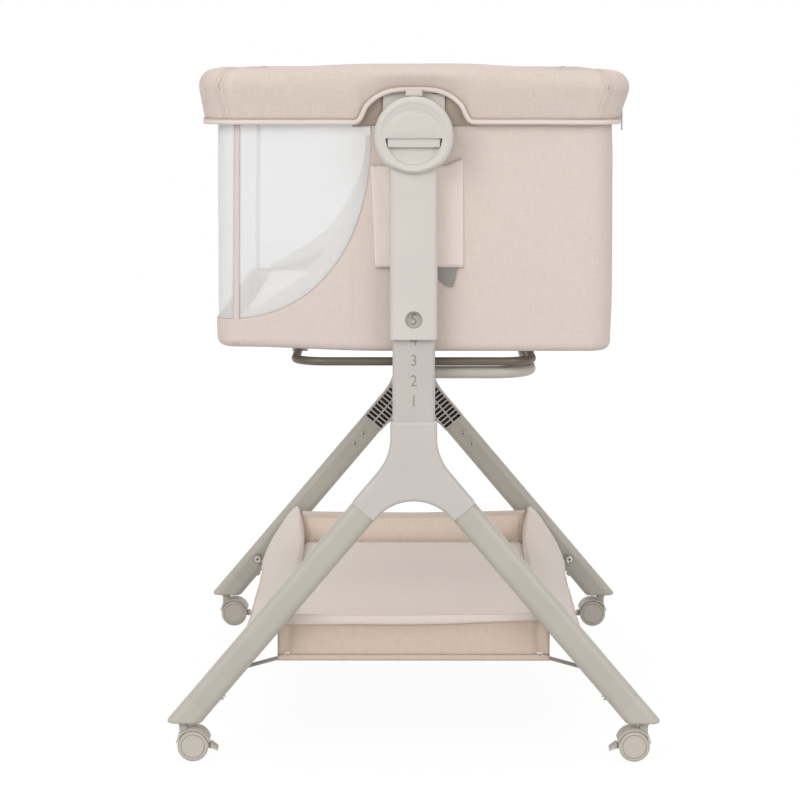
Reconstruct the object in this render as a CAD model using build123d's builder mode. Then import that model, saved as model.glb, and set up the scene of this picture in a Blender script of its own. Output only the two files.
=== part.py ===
from build123d import *
import os
from math import acos, atan2, cos, degrees, radians, sin, tan

# Bassinet on a wheeled stand.  X is the width, Y the length, Z up, origin on the floor at the middle.
# The near end is -Y.  Every piece of the far end is the near one mirrored about the XZ plane.
# Heights are built up from the floor by way of the legs, and lengths from the basket's.
# All sizes are in millimetres.

os.makedirs("parts", exist_ok=True)

# ---- stand: two A-shaped ends ----
LEG_ANGLE = 49.8  # of the leg tubes, from the horizontal
LEG_LENGTH = 330.0
LEG_TOP_X = 64.0  # middle of the tube's upper end
TUBE_WIDTH = 36.0
TUBE_DEPTH = 26.0
TUBE_EDGE = 11.0
TUBE_WALL = 2.0
SOCKET_GAP = 0.25  # round a plastic tongue inside a tube
FOOT_BOTTOM = 48.0
FOOT_RISE = 23.95  # from the foot's underside to the middle of its seam with the tube
FOOT_TENON = 35.0
FOOT_EDGE = 3.0

YOKE_DEPTH = 28.0
YOKE_SKIN = 4.0
YOKE_EDGE = 5.0
YOKE_TONGUE = 60.0
YOKE_RISE = 117.0  # from the middle of its seams with the legs to its mouth
NECK_FLARE = 70.0  # radius between the neck and a leg arm
ARCH_RADIUS = 62.0
SLOT_COUNT = 10
SLOT_PITCH = 6.8
SLOT_WIDTH = 4.8
SLOT_START = 4.5
SLOT_RIB = 2.0
SLOT_RIM = 2.5

COLUMN_WIDTH = 54.0
COLUMN_DEPTH = 22.0
COLUMN_EDGE = 6.0
COLUMN_WALL = 2.0
COLUMN_SOCKET = 45.0  # depth of the yoke's bore
COLUMN_LENGTH = 318.0
STEP_PITCH = 26.0
STEP_COUNT = 5
LOCK_HOLE = 8.4
LOCK_END = 14.0  # from the column's top to its first lock hole

# ---- screws ----
SCREW_SHANK = 4.0
SCREW_HOLE = 4.2
SCREW_HEAD = 8.0
SCREW_HEAD_TALL = 2.2
SCREW_CHAMFER = 0.7
SCREW_LENGTH = 12.0
SCREW_TIP_ROOM = 1.0  # past a screw's tip, or a castor's stem, in its blind hole
YOKE_SCREW_AT = (22.0, 43.0)  # below the yoke's seam, along the tube
FOOT_SCREW_AT = 27.0  # above the foot's seam, along the tube
FOOT_SCREW_HEAD = 7.0

# ---- castors ----
WHEEL_DIAMETER = 40.0
WHEEL_WIDTH = 12.0
WHEEL_EDGE = 2.5
WHEEL_CAP = 29.0
WHEEL_GROOVE = 1.2
STEM_OUT = 20.0  # beyond the foot's seam
TRAIL = 13.0
FORK_WIDTH = 10.0
FORK_HUB = 23.0
FORK_GAP = 0.5  # between the fork and a wheel
AXLE_DIAMETER = 6.0
RUNNING_GAP = 0.05  # round a shaft in its hole
STEM_DIAMETER = 8.0
STEM_TALL = 18.0
COLLAR_DIAMETER = 13.0
COLLAR_TALL = 3.4
COLLAR_GAP = 0.2
NECK_BLOCK = 10.4
HOOD_WALL = 1.7
HOOD_GAP = 0.7
HOOD_START = 12.0  # degrees from the outer side, over the top
HOOD_END = 163.0
BRAKE_PIVOT_X = 15.3  # inboard of the axle
BRAKE_PIN = 2.6
BRAKE_REACH = 31.5
BRAKE_PADDLE = 20.0
BRAKE_PADDLE_THICK = 3.0
BRAKE_CHEEK = 1.8
BRAKE_CHEEK_TAPER = 0.9
BRAKE_LUG = 4.4
BRAKE_LUG_ROOM = 1.0  # round the fork's lug, inside the brake lever
BRAKE_BOSS = 7.0
BRAKE_ARM = 7.2  # from the pivot to the paddle's root
BRAKE_DROP = 6.0  # of the paddle's tip below the pivot

# ---- sleeve housings; the cradle is drawn at its highest step ----
SLIDE_GAP = 0.3
STOP_GAP = 1.0  # above the yoke when the cradle is lowest
SLEEVE_CLEAR = 7.0  # between the basket's end and a sleeve
SLEEVE_WIDTH = 60.0
SLEEVE_DEPTH = 34.0
SLEEVE_EDGE = 7.0
COLUMN_INSET = 14.0  # the column's middle, outside the sleeve's inner face
CHANNEL_WIDTH = 30.0
CHANNEL_DEPTH = 6.0
WINDOW_DIAMETER = 22.0
WINDOW_DROP = 129.0  # below the lock pin
HUB_DIAMETER = 100.0
HUB_RISE = 102.0  # above the lock pin
HUB_CEILING = 20.0  # top of the column's cavity, above the hub's middle
HUB_DEPTH = 12.0
HUB_RING = 10.0
HUB_FACE_BACK = 2.5  # the face lies this far behind the ring's crest
HUB_FACE_WALL = 2.5
HALF_MOON = 75.0  # diameter of the finger recess
HALF_MOON_DROP = 2.0
HALF_MOON_TOP = 2.5  # its straight edge, below the hub's middle

# ---- release lever, lock pin and spring ----
LEVER_WIDTH = 66.0
LEVER_BAR = 11.2
LEVER_THICK = 4.4
LEVER_PLATE = 14.0
LEVER_PLATE_THICK = 2.0
LEVER_GAP = 0.4  # behind the hub's face
LEVER_TRAVEL = 7.0
TONGUE_WIDTH = 14.0
TONGUE_THICK = 3.0
TONGUE_SLOT = 9.0
TONGUE_END = 7.0  # below the lock pin
PIN_DIAMETER = 8.0
PIN_LENGTH = 3.2
PIN_CLEAR = 0.25
SPRING_WALL = 0.6
SPRING_RISE = 10.5  # room for the spring above the lever's plate
SPRING_HALF = 16.0
SPRING_SEAT = 16.0
BRIDGE_WIDTH = 10.0
BRIDGE_TALL = 8.0
BRIDGE_DROP = 1.0  # its middle, below the middle of the lever's bar

# ---- padded rim and the tube in it ----
RIM_ABOVE_HUB = 90.0  # from the hub's middle to the rim's top
RIM_TALL = 74.0
RIM_PROUD = 20.0
RIM_BAND = 42.0
RIM_SHOULDER = 24.0  # from the rim's top to its widest line
RIM_INNER_TALL = 54.0
RIM_TOP_WALL = 8.0
RIM_CROWN = 18.0
RIM_CORNER = 50.0
RIM_TAPER = 8.0
CHANNEL_INSIDE = 16.0  # of the basket's outer face, for the rim tube
CHANNEL_OUTSIDE = 8.0
RIM_TUBE = 18.0
RIM_TUBE_DROP = 14.0  # its middle, below the channel's ceiling
RIM_TUBE_IN = 3.5  # its middle, inside the basket's outer face
ARCH_FOOT = 70.0  # half width of the rim's cut-out at its foot
ARCH_HEAD = 25.0
ARCH_SHOULDER = 42.0
ARCH_RISE = 10.0
ARCH_CROWN = 30.0  # from the rim's top to the cut-out's

# ---- basket ----
BODY_WIDTH = 500.0
BODY_LENGTH = 830.0
BODY_TALL = 329.5
BODY_CORNER = 30.0
BODY_TOP_GAP = 2.5  # between the basket's upper edge and the rim tube
FABRIC_WALL = 2.5
FLOOR_WALL = 3.0
MESH_WALL = 1.2
SOFT_GAP = 0.3
WINDOW_SILL = 35.0  # above the basket's bottom
WINDOW_RIGHT = 55.0  # the window's straight edge, left of the middle
WINDOW_ARC_IN = 12.0  # the middle of its elliptical corner, inside the left face
WINDOW_ARC_RISE = 238.0
BOARD_THICK = 4.0
BOARD_MARGIN = 4.0
MATTRESS_THICK = 30.0
MATTRESS_MARGIN = 9.0
MATTRESS_EDGE = 8.0

# ---- frame under and behind the basket ----
POST_WIDTH = 36.0
POST_THICK = 2.4
SADDLE_DEPTH = 38.0
SADDLE_TALL = 42.0
SADDLE_TOP_GAP = 3.0  # below the basket
SADDLE_EDGE = 6.0
BRACKET_WIDTH = 78.0
BRACKET_DROP = 38.0  # its lower edge, below the hub's middle
BRACKET_TOP_DROP = 16.0  # the plate's upper edge, below the rim tube's middle
BRACKET_THICK = 5.5
CLAMP_DIAMETER = 22.0
CLAMP_WIDTH = 50.0
TAB_WIDTH = 20.5
TAB_TALL = 8.0
TAB_REACH = 30.0
TAB_GAP = 1.5  # below the rim's cut-out
RING_TUBE = 11.0
RING_DROP = 16.5  # below the basket
RING_SIDE_IN = 97.0  # inside the basket's sides
RING_END_IN = 15.0  # inside the basket's ends
RING_CORNER = 40.0
BAR_TUBE = 16.0
BAR_DROP = 31.6  # below the basket
BAR_SIDE_IN = 99.0
BAR_END_IN = 25.0
BAR_CORNER = 50.0
BAR_SOCKET = 9.0
CLIP_AT = 0.5  # of the ring's half length
CLIP_WIDTH = 20.0
CLIP_LENGTH = 30.0
CLIP_GRIP = 6.6  # below the ring's middle

FLAP_LEFT = -52.0
FLAP_RIGHT = 67.0
FLAP_HEM = 106.0  # above the basket's bottom
FLAP_WALL = 1.0
FOLD_PIVOT_X = 8.0
FOLD_PIVOT_RISE = 121.0  # above the basket's bottom
FOLD_PIN = 6.0
FOLD_THICK = 2.0
FOLD_BOSS = 16.0
FOLD_REACH = 48.0  # of the lever's tip, out from its pivot
FOLD_DROP = 41.0
FOLD_SHOULDER = 6.0  # how far the thumb end is cut back at its corners
FOLD_THUMB = 15.0  # the thumb end's width
FOLD_CORNER = 2.5

# ---- zip ----
ZIP_WIDTH = 5.0
ZIP_THICK = 1.0
ZIP_IN = 7.0  # the corner strips' middle, inside the right face
ZIP_RISE = 161.0  # their lower end, above the basket's bottom
ZIP_RUN_RISE = 10.0  # above the rim's lower edge
ZIP_RUN_END = 65.0  # from the basket's ends to the slider
SLIDER_LENGTH = 9.0
SLIDER_TALL = 9.0
SLIDER_THICK = 2.6
PULL_LENGTH = 17.0
PULL_WIDTH = 5.0
PULL_THICK = 1.4

# ---- storage tray ----
BOLT_UP = 48.0  # along the tube, above the foot's seam
BOLT_DIAMETER = 6.0
BOLT_HEAD = 11.0
BOLT_HEAD_TALL = 3.5
BOLT_CHAMFER = 1.0
BOLT_DEEP = 9.0
EYE_DIAMETER = 14.0
EYE_THICK = 6.0
STUD_DIAMETER = 8.0
ROD_DIAMETER = 5.0
ROD_CORNER = 12.0
TRAY_RISE = 22.4  # its floor, above the bolts
TRAY_SIDE_IN = 70.0  # its floor's edge, inside the bolts
TRAY_END_IN = 24.0  # its end walls, inside the legs' plane
TRAY_WALL = 3.0
TRAY_TALL = 55.0  # of the end walls
PEAK_OUT = 5.0  # the side ridge's held-up ends, outside the floor's edge
PEAK_TALL = 61.0
PEAK_RUN = 72.0
RIDGE_IN = 4.0  # the ridge between its ends, inside the floor's edge
RIDGE_TALL = 21.0
RIDGE_ROOT = 2.2  # thickness under the ridge, in walls
SKIRT_OUT = 61.0
SKIRT_FALL = 27.0  # the skirt's hem, below the floor
SKIRT_DRAW = 6.0  # the skirt's hem is drawn in by this much between its ends
TRAY_BOARD_THICK = 3.0
TRAY_BOARD_MARGIN = 8.0

# ---- places worked out from the sizes ----
bodyEndY = -BODY_LENGTH / 2
sleeveInner = BODY_LENGTH / 2 + SLEEVE_CLEAR
sleeveFrontY = -(sleeveInner + SLEEVE_DEPTH)
legPlaneY = -(sleeveInner + COLUMN_INSET)
legInnerY = legPlaneY + TUBE_DEPTH / 2
legDown = Vector(cos(radians(LEG_ANGLE)), 0, -sin(radians(LEG_ANGLE)))
legOut = Vector(sin(radians(LEG_ANGLE)), 0, cos(radians(LEG_ANGLE)))
legTop = Vector(LEG_TOP_X, legPlaneY, FOOT_BOTTOM + FOOT_RISE - legDown.Z * LEG_LENGTH)
legEnd = legTop + legDown * LEG_LENGTH
stemX = legEnd.X + STEM_OUT
axleX = stemX - TRAIL
axleZ = WHEEL_DIAMETER / 2
neckTop = legTop.Z + YOKE_RISE
columnSeat = neckTop - COLUMN_SOCKET
columnTop = columnSeat + COLUMN_LENGTH
lockTopZ = columnTop - LOCK_END
columnFrontY = legPlaneY - COLUMN_DEPTH / 2

sleeveBottom = neckTop + STEP_PITCH * (STEP_COUNT - 1) + STOP_GAP
cavityFrontY = columnFrontY - CHANNEL_DEPTH
windowZ = lockTopZ - WINDOW_DROP
hubZ = lockTopZ + HUB_RISE
cavityTop = hubZ + HUB_CEILING
channelTop = hubZ + HUB_CEILING / 2
hubFrontY = sleeveFrontY - HUB_DEPTH
faceFrontY = hubFrontY + HUB_FACE_BACK
faceBackY = faceFrontY + HUB_FACE_WALL
leverFrontY = faceBackY + LEVER_GAP
leverTopZ = hubZ - HALF_MOON_TOP
bridgeZ = leverTopZ - LEVER_BAR / 2 - BRIDGE_DROP
tongueBottom = lockTopZ - TONGUE_END
tongueFrontY = cavityFrontY + PIN_CLEAR + STOP_GAP / 2
springTopZ = leverTopZ + LEVER_PLATE + SPRING_RISE

rimTop = hubZ + RIM_ABOVE_HUB
rimBottom = rimTop - RIM_TALL
rimWidestZ = rimTop - RIM_SHOULDER
archTop = rimTop - ARCH_CROWN
channelCeiling = rimTop - RIM_TOP_WALL
rimTubeZ = channelCeiling - RIM_TUBE_DROP
railY = BODY_LENGTH / 2 - RIM_TUBE_IN
railX = BODY_WIDTH / 2 - RIM_TUBE_IN
bodyTop = rimTubeZ - RIM_TUBE / 2 - BODY_TOP_GAP
bodyBottom = bodyTop - BODY_TALL

saddleTop = bodyBottom - SADDLE_TOP_GAP
postBottom = saddleTop - SADDLE_TALL
bracketBottom = hubZ - BRACKET_DROP
bracketTop = rimTubeZ - BRACKET_TOP_DROP
ringZ = bodyBottom - RING_DROP
ringX = BODY_WIDTH / 2 - RING_SIDE_IN
ringY = bodyEndY + RING_END_IN
barZ = bodyBottom - BAR_DROP
barX = BODY_WIDTH / 2 - BAR_SIDE_IN
barY = bodyEndY + BAR_END_IN
flapFrontY = -(sleeveInner - SOFT_GAP)
flapBottom = bodyBottom + FLAP_HEM
foldPivotZ = bodyBottom + FOLD_PIVOT_RISE
zipBottom = bodyBottom + ZIP_RISE
zipRunZ = rimBottom + ZIP_RUN_RISE
zipRunHalf = BODY_LENGTH / 2 - ZIP_RUN_END

boltX = legEnd.X - legDown.X * BOLT_UP
boltZ = legEnd.Z - legDown.Z * BOLT_UP
trayFloor = boltZ + TRAY_RISE
trayHalfWidth = boltX - TRAY_SIDE_IN
trayHalfLength = -legPlaneY - TRAY_END_IN
peakX = trayHalfWidth + PEAK_OUT
peakZ = trayFloor + PEAK_TALL
ridgeX = trayHalfWidth - RIDGE_IN
ridgeZ = trayFloor + RIDGE_TALL
skirtX = trayHalfWidth + SKIRT_OUT
skirtZ = trayFloor - SKIRT_FALL


def save(piece, name):
    piece.label = name
    export_step(piece, f"parts/{name}.step")


def saveEnds(piece, name):
    save(piece, f"{name}_near")
    save(mirror(piece, about=Plane.XZ), f"{name}_far")


def saveCorners(piece, name):
    for end, atEnd in (("near", piece), ("far", mirror(piece, about=Plane.XZ))):
        save(atEnd, f"{name}_{end}_right")
        save(mirror(atEnd, about=Plane.YZ), f"{name}_{end}_left")


def cornerSolids(piece):
    """The solids of a piece of the near right corner, with their mirror images at the other three."""
    near = [*piece.solids(), *mirror(piece, about=Plane.YZ).solids()]
    return [*near, *[mirror(solid, about=Plane.XZ) for solid in near]]


def alongLeg(distance, side=1):
    """The plane across the near leg tube, its x towards the tube's upper edge, its z down the tube."""
    middle = legTop + legDown * distance
    if side > 0:
        return Plane(origin=middle, x_dir=legOut, z_dir=legDown)
    return Plane(
        origin=Vector(-middle.X, middle.Y, middle.Z),
        x_dir=Vector(-legOut.X, 0, legOut.Z),
        z_dir=Vector(-legDown.X, 0, legDown.Z),
    )


def acrossY(y):
    """The plane that faces the near end at this y, its x along X and its y along Z."""
    return Plane(origin=(0, y, 0), x_dir=(1, 0, 0), z_dir=(0, -1, 0))


def onLegFace(distance):
    """The plane on the right leg's inner face, facing the basket, at this distance down the tube."""
    middle = legTop + legDown * distance
    return Plane(origin=(middle.X, legInnerY, middle.Z), x_dir=(1, 0, 0), z_dir=(0, 1, 0))


# ---- legs and feet ----
with BuildPart() as leg:
    with BuildSketch(alongLeg(0)):
        RectangleRounded(TUBE_WIDTH, TUBE_DEPTH, TUBE_EDGE)
        RectangleRounded(
            TUBE_WIDTH - 2 * TUBE_WALL,
            TUBE_DEPTH - 2 * TUBE_WALL,
            TUBE_EDGE - TUBE_WALL,
            mode=Mode.SUBTRACT,
        )
    extrude(amount=LEG_LENGTH)
    for distance in YOKE_SCREW_AT:
        with BuildSketch(onLegFace(distance)):
            Circle(SCREW_HOLE / 2)
        extrude(amount=-2 * TUBE_WALL, mode=Mode.SUBTRACT)
    footScrewPlane = Plane(
        origin=legTop + legDown * (LEG_LENGTH - FOOT_SCREW_AT) - legOut * TUBE_WIDTH / 2,
        x_dir=legDown,
        z_dir=-legOut,
    )
    with BuildSketch(footScrewPlane):
        Circle(SCREW_HOLE / 2)
    extrude(amount=-2 * TUBE_WALL, mode=Mode.SUBTRACT)
    with BuildSketch(Plane(origin=(boltX, legInnerY, boltZ), x_dir=(1, 0, 0), z_dir=(0, 1, 0))):
        Circle(BOLT_DIAMETER / 2 + SOCKET_GAP)
    extrude(amount=-2 * TUBE_WALL, mode=Mode.SUBTRACT)
saveCorners(leg.part, "leg")

with BuildPart() as footCap:
    with BuildSketch(alongLeg(LEG_LENGTH)):
        RectangleRounded(TUBE_WIDTH, TUBE_DEPTH, TUBE_EDGE)
    extrude(amount=2 * TUBE_WIDTH)
    split(bisect_by=Plane.XY.offset(FOOT_BOTTOM), keep=Keep.TOP)
    fillet(footCap.faces().sort_by(Axis.Z)[0].edges(), FOOT_EDGE)
    with BuildSketch(alongLeg(LEG_LENGTH)):
        RectangleRounded(
            TUBE_WIDTH - 2 * (TUBE_WALL + SOCKET_GAP),
            TUBE_DEPTH - 2 * (TUBE_WALL + SOCKET_GAP),
            TUBE_EDGE - TUBE_WALL - SOCKET_GAP,
        )
    extrude(amount=-FOOT_TENON)
    with BuildSketch(Plane.XY.offset(FOOT_BOTTOM)):
        with Locations((stemX, legPlaneY)):
            Circle(STEM_DIAMETER / 2 + RUNNING_GAP)
    extrude(amount=STEM_TALL + SCREW_TIP_ROOM, mode=Mode.SUBTRACT)
    with BuildSketch(footScrewPlane):
        Circle(SCREW_HOLE / 2)
    extrude(amount=-SCREW_LENGTH - SCREW_TIP_ROOM, mode=Mode.SUBTRACT)
saveCorners(footCap.part, "foot_cap")

# ---- yoke: a moulded housing, smooth outside, with two rows of ribbed pockets inside each arm ----
yokeInnerY = legPlaneY + YOKE_DEPTH / 2
neckHalf = SLEEVE_WIDTH / 2
upperSeam = legTop + legOut * TUBE_WIDTH / 2
lowerSeam = legTop - legOut * TUBE_WIDTH / 2
kneeZ = upperSeam.Z + (upperSeam.X - neckHalf) * tan(radians(LEG_ANGLE))
apexZ = lowerSeam.Z + lowerSeam.X * tan(radians(LEG_ANGLE))

with BuildPart() as yoke:
    with BuildSketch(acrossY(yokeInnerY)):
        with BuildLine():
            FilletPolyline(
                (-neckHalf, neckTop),
                (neckHalf, neckTop),
                (neckHalf, kneeZ),
                (upperSeam.X, upperSeam.Z),
                (lowerSeam.X, lowerSeam.Z),
                (0, apexZ),
                (-lowerSeam.X, lowerSeam.Z),
                (-upperSeam.X, upperSeam.Z),
                (-neckHalf, kneeZ),
                radius=(0, 0, NECK_FLARE, 0, 0, ARCH_RADIUS, 0, 0, NECK_FLARE),
                close=True,
            )
        make_face()
    extrude(amount=YOKE_DEPTH)
    frontEdges = yoke.faces().sort_by(Axis.Y)[0].edges()
    seamEdges = [edge for edge in frontEdges if abs(edge.center().X) > lowerSeam.X]
    fillet([edge for edge in frontEdges if edge not in seamEdges], YOKE_EDGE)
    with BuildSketch(Plane.XY.offset(columnSeat)):
        with Locations((0, legPlaneY)):
            RectangleRounded(
                COLUMN_WIDTH + 2 * SLIDE_GAP, COLUMN_DEPTH + 2 * SLIDE_GAP, COLUMN_EDGE + SLIDE_GAP
            )
    extrude(amount=COLUMN_SOCKET, mode=Mode.SUBTRACT)
    rowOffset = (TUBE_WIDTH / 2 - SLOT_RIM + SLOT_RIB / 2) / 2
    slotLength = TUBE_WIDTH / 2 - SLOT_RIM - SLOT_RIB / 2
    slotMiddle = SLOT_START + SLOT_PITCH * (SLOT_COUNT - 1) / 2
    for side in (1, -1):
        armPlane = Plane(
            origin=(side * LEG_TOP_X, yokeInnerY, legTop.Z),
            x_dir=(side * legOut.X, 0, legOut.Z),
            z_dir=(0, 1, 0),
        )
        with BuildSketch(armPlane):
            with Locations((0, -side * slotMiddle)):
                with GridLocations(2 * rowOffset, SLOT_PITCH, 2, SLOT_COUNT):
                    Rectangle(slotLength, SLOT_WIDTH)
        extrude(amount=-(YOKE_DEPTH - YOKE_SKIN), mode=Mode.SUBTRACT)
    for side in (1, -1):
        with BuildSketch(alongLeg(0, side)):
            RectangleRounded(
                TUBE_WIDTH - 2 * (TUBE_WALL + SOCKET_GAP),
                TUBE_DEPTH - 2 * (TUBE_WALL + SOCKET_GAP),
                TUBE_EDGE - TUBE_WALL - SOCKET_GAP,
            )
        extrude(amount=YOKE_TONGUE)
    for distance in YOKE_SCREW_AT:
        hole = onLegFace(distance).origin
        with BuildSketch(Plane(origin=(0, legInnerY, 0), x_dir=(1, 0, 0), z_dir=(0, 1, 0))):
            with Locations((hole.X, -hole.Z), (-hole.X, -hole.Z)):
                Circle(SCREW_HOLE / 2)
        extrude(amount=-SCREW_LENGTH - SCREW_TIP_ROOM, mode=Mode.SUBTRACT)
saveEnds(yoke.part, "yoke")

with BuildPart() as column:
    with BuildSketch(Plane.XY.offset(columnSeat)):
        with Locations((0, legPlaneY)):
            RectangleRounded(COLUMN_WIDTH, COLUMN_DEPTH, COLUMN_EDGE)
            RectangleRounded(
                COLUMN_WIDTH - 2 * COLUMN_WALL,
                COLUMN_DEPTH - 2 * COLUMN_WALL,
                COLUMN_EDGE - COLUMN_WALL,
                mode=Mode.SUBTRACT,
            )
    extrude(amount=COLUMN_LENGTH)
    with BuildSketch(acrossY(columnFrontY)):
        with Locations(*[(0, lockTopZ - STEP_PITCH * step) for step in range(STEP_COUNT)]):
            Circle(LOCK_HOLE / 2)
    extrude(amount=-2 * COLUMN_WALL, mode=Mode.SUBTRACT)
saveEnds(column.part, "column")

# ---- screws of the stand ----
with BuildPart() as yokeScrewsRight:
    for distance in YOKE_SCREW_AT:
        with BuildSketch(onLegFace(distance)):
            Circle(SCREW_HEAD / 2)
        head = extrude(amount=SCREW_HEAD_TALL)
        chamfer(head.faces().sort_by(Axis.Y)[-1].edges(), SCREW_CHAMFER)
        with BuildSketch(onLegFace(distance)):
            Circle(SCREW_SHANK / 2)
        extrude(amount=-SCREW_LENGTH)
save(Compound(cornerSolids(yokeScrewsRight.part)), "yoke_screws")

with BuildPart() as footScrew:
    with BuildSketch(footScrewPlane):
        Circle(FOOT_SCREW_HEAD / 2)
    extrude(amount=SCREW_HEAD_TALL)
    with BuildSketch(footScrewPlane):
        Circle(SCREW_SHANK / 2)
    extrude(amount=-SCREW_LENGTH)
save(Compound(cornerSolids(footScrew.part)), "foot_screws")

# ---- castors ----
collarTop = FOOT_BOTTOM - COLLAR_GAP
collarBottom = collarTop - COLLAR_TALL
forkInnerY = legPlaneY + FORK_WIDTH / 2
wheelInner = FORK_WIDTH / 2 + FORK_GAP
wheelOuter = wheelInner + WHEEL_WIDTH
hoodInside = WHEEL_DIAMETER / 2 + HOOD_GAP
pivotX = axleX - BRAKE_PIVOT_X


def aroundAxle(radius, angle):
    return (axleX + radius * cos(radians(angle)), axleZ + radius * sin(radians(angle)))


with BuildPart() as fork:
    with BuildSketch(acrossY(forkInnerY)):
        with Locations((axleX, axleZ)):
            Circle(FORK_HUB / 2)
        with Locations((stemX, axleZ)):
            Rectangle(NECK_BLOCK, collarBottom - axleZ, align=(Align.CENTER, Align.MIN))
    extrude(amount=FORK_WIDTH)
    with BuildSketch(acrossY(legPlaneY + BRAKE_LUG / 2)):
        with Locations((pivotX, axleZ)):
            Circle(BRAKE_PIN)
            Rectangle(BRAKE_PIVOT_X, 2 * BRAKE_PIN, align=(Align.MIN, Align.CENTER))
    extrude(amount=BRAKE_LUG)
    with BuildSketch(acrossY(legPlaneY + wheelOuter)):
        with BuildLine():
            middle = (axleX, axleZ)
            CenterArc(middle, hoodInside, HOOD_START, HOOD_END - HOOD_START)
            CenterArc(middle, hoodInside + HOOD_WALL, HOOD_START, HOOD_END - HOOD_START)
            for angle in (HOOD_START, HOOD_END):
                Line(aroundAxle(hoodInside, angle), aroundAxle(hoodInside + HOOD_WALL, angle))
        make_face()
    extrude(amount=2 * wheelOuter)
    with BuildSketch(Plane.XY.offset(collarBottom)):
        with Locations((stemX, legPlaneY)):
            Circle(COLLAR_DIAMETER / 2)
    extrude(amount=COLLAR_TALL)
    with BuildSketch(Plane.XY.offset(collarTop)):
        with Locations((stemX, legPlaneY)):
            Circle(STEM_DIAMETER / 2)
    extrude(amount=STEM_TALL)
    with BuildSketch(acrossY(forkInnerY)):
        with Locations((axleX, axleZ)):
            Circle(AXLE_DIAMETER / 2 + RUNNING_GAP)
        with Locations((pivotX, axleZ)):
            Circle(BRAKE_PIN / 2 + RUNNING_GAP)
    extrude(amount=FORK_WIDTH, mode=Mode.SUBTRACT)
saveCorners(fork.part, "castor_fork")

with BuildPart() as wheels:
    axlePlane = Plane(origin=(axleX, legPlaneY, axleZ), x_dir=(1, 0, 0), z_dir=(0, 0, 1))
    with BuildSketch(axlePlane):
        with BuildLine():
            Polyline(
                (0, 0),
                (0, wheelOuter),
                (WHEEL_CAP / 2, wheelOuter),
                (WHEEL_CAP / 2, wheelOuter - WHEEL_GROOVE),
                (WHEEL_CAP / 2 + WHEEL_GROOVE, wheelOuter - WHEEL_GROOVE),
                (WHEEL_CAP / 2 + WHEEL_GROOVE, wheelOuter),
                (WHEEL_DIAMETER / 2 - WHEEL_EDGE, wheelOuter),
                (WHEEL_DIAMETER / 2, wheelOuter - WHEEL_EDGE),
                (WHEEL_DIAMETER / 2, wheelInner + WHEEL_EDGE / 2),
                (WHEEL_DIAMETER / 2 - WHEEL_EDGE / 2, wheelInner),
                (AXLE_DIAMETER / 2, wheelInner),
                (AXLE_DIAMETER / 2, 0),
                close=True,
            )
        make_face()
    revolve(axis=Axis((axleX, legPlaneY, axleZ), (0, 1, 0)))
    mirror(about=Plane(origin=(0, legPlaneY, 0), x_dir=(1, 0, 0), z_dir=(0, 1, 0)))
saveCorners(wheels.part, "castor_wheels")

with BuildPart() as brake:
    # two cheeks beside the fork's lug, a pin through them, and a paddle that slopes down inboard
    cheekSpan = BRAKE_LUG + 2 * (BRAKE_CHEEK + SLIDE_GAP)
    armX = -(BRAKE_PIVOT_X + BRAKE_ARM)
    with BuildSketch(acrossY(legPlaneY + cheekSpan / 2)):
        with Locations((pivotX, axleZ)):
            Circle(BRAKE_BOSS / 2)
        with BuildLine(Plane(origin=(axleX, axleZ, 0))):
            Polyline(
                (-BRAKE_PIVOT_X, BRAKE_BOSS / 2),
                (armX, BRAKE_BOSS / 2 - BRAKE_CHEEK_TAPER),
                (armX - BRAKE_CHEEK_TAPER, -BRAKE_DROP),
                (-BRAKE_PIVOT_X, -BRAKE_BOSS / 2),
                close=True,
            )
        make_face()
    extrude(amount=cheekSpan)
    with BuildSketch(acrossY(legPlaneY + BRAKE_LUG / 2 + SLIDE_GAP)):
        with Locations((pivotX, axleZ)):
            Circle(BRAKE_PIN + BRAKE_LUG_ROOM)
            Rectangle(
                BRAKE_PIVOT_X, 2 * (BRAKE_PIN + BRAKE_LUG_ROOM), align=(Align.MIN, Align.CENTER)
            )
    extrude(amount=BRAKE_LUG + 2 * SLIDE_GAP, mode=Mode.SUBTRACT)
    with BuildSketch(acrossY(legPlaneY + cheekSpan / 2)):
        with Locations((pivotX, axleZ)):
            Circle(BRAKE_PIN / 2)
    extrude(amount=cheekSpan)
    with BuildSketch(acrossY(legPlaneY + BRAKE_PADDLE / 2)):
        with BuildLine(Plane(origin=(axleX, axleZ, 0))):
            Polyline(
                (armX, BRAKE_BOSS / 2 - BRAKE_CHEEK_TAPER),
                (-BRAKE_REACH, -BRAKE_DROP + BRAKE_PADDLE_THICK / 2),
                (-BRAKE_REACH, -BRAKE_DROP - BRAKE_PADDLE_THICK / 2),
                (armX, BRAKE_BOSS / 2 - BRAKE_CHEEK_TAPER - 2 * BRAKE_PADDLE_THICK),
                close=True,
            )
        make_face()
    extrude(amount=BRAKE_PADDLE)
saveCorners(brake.part, "brake_lever")

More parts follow.
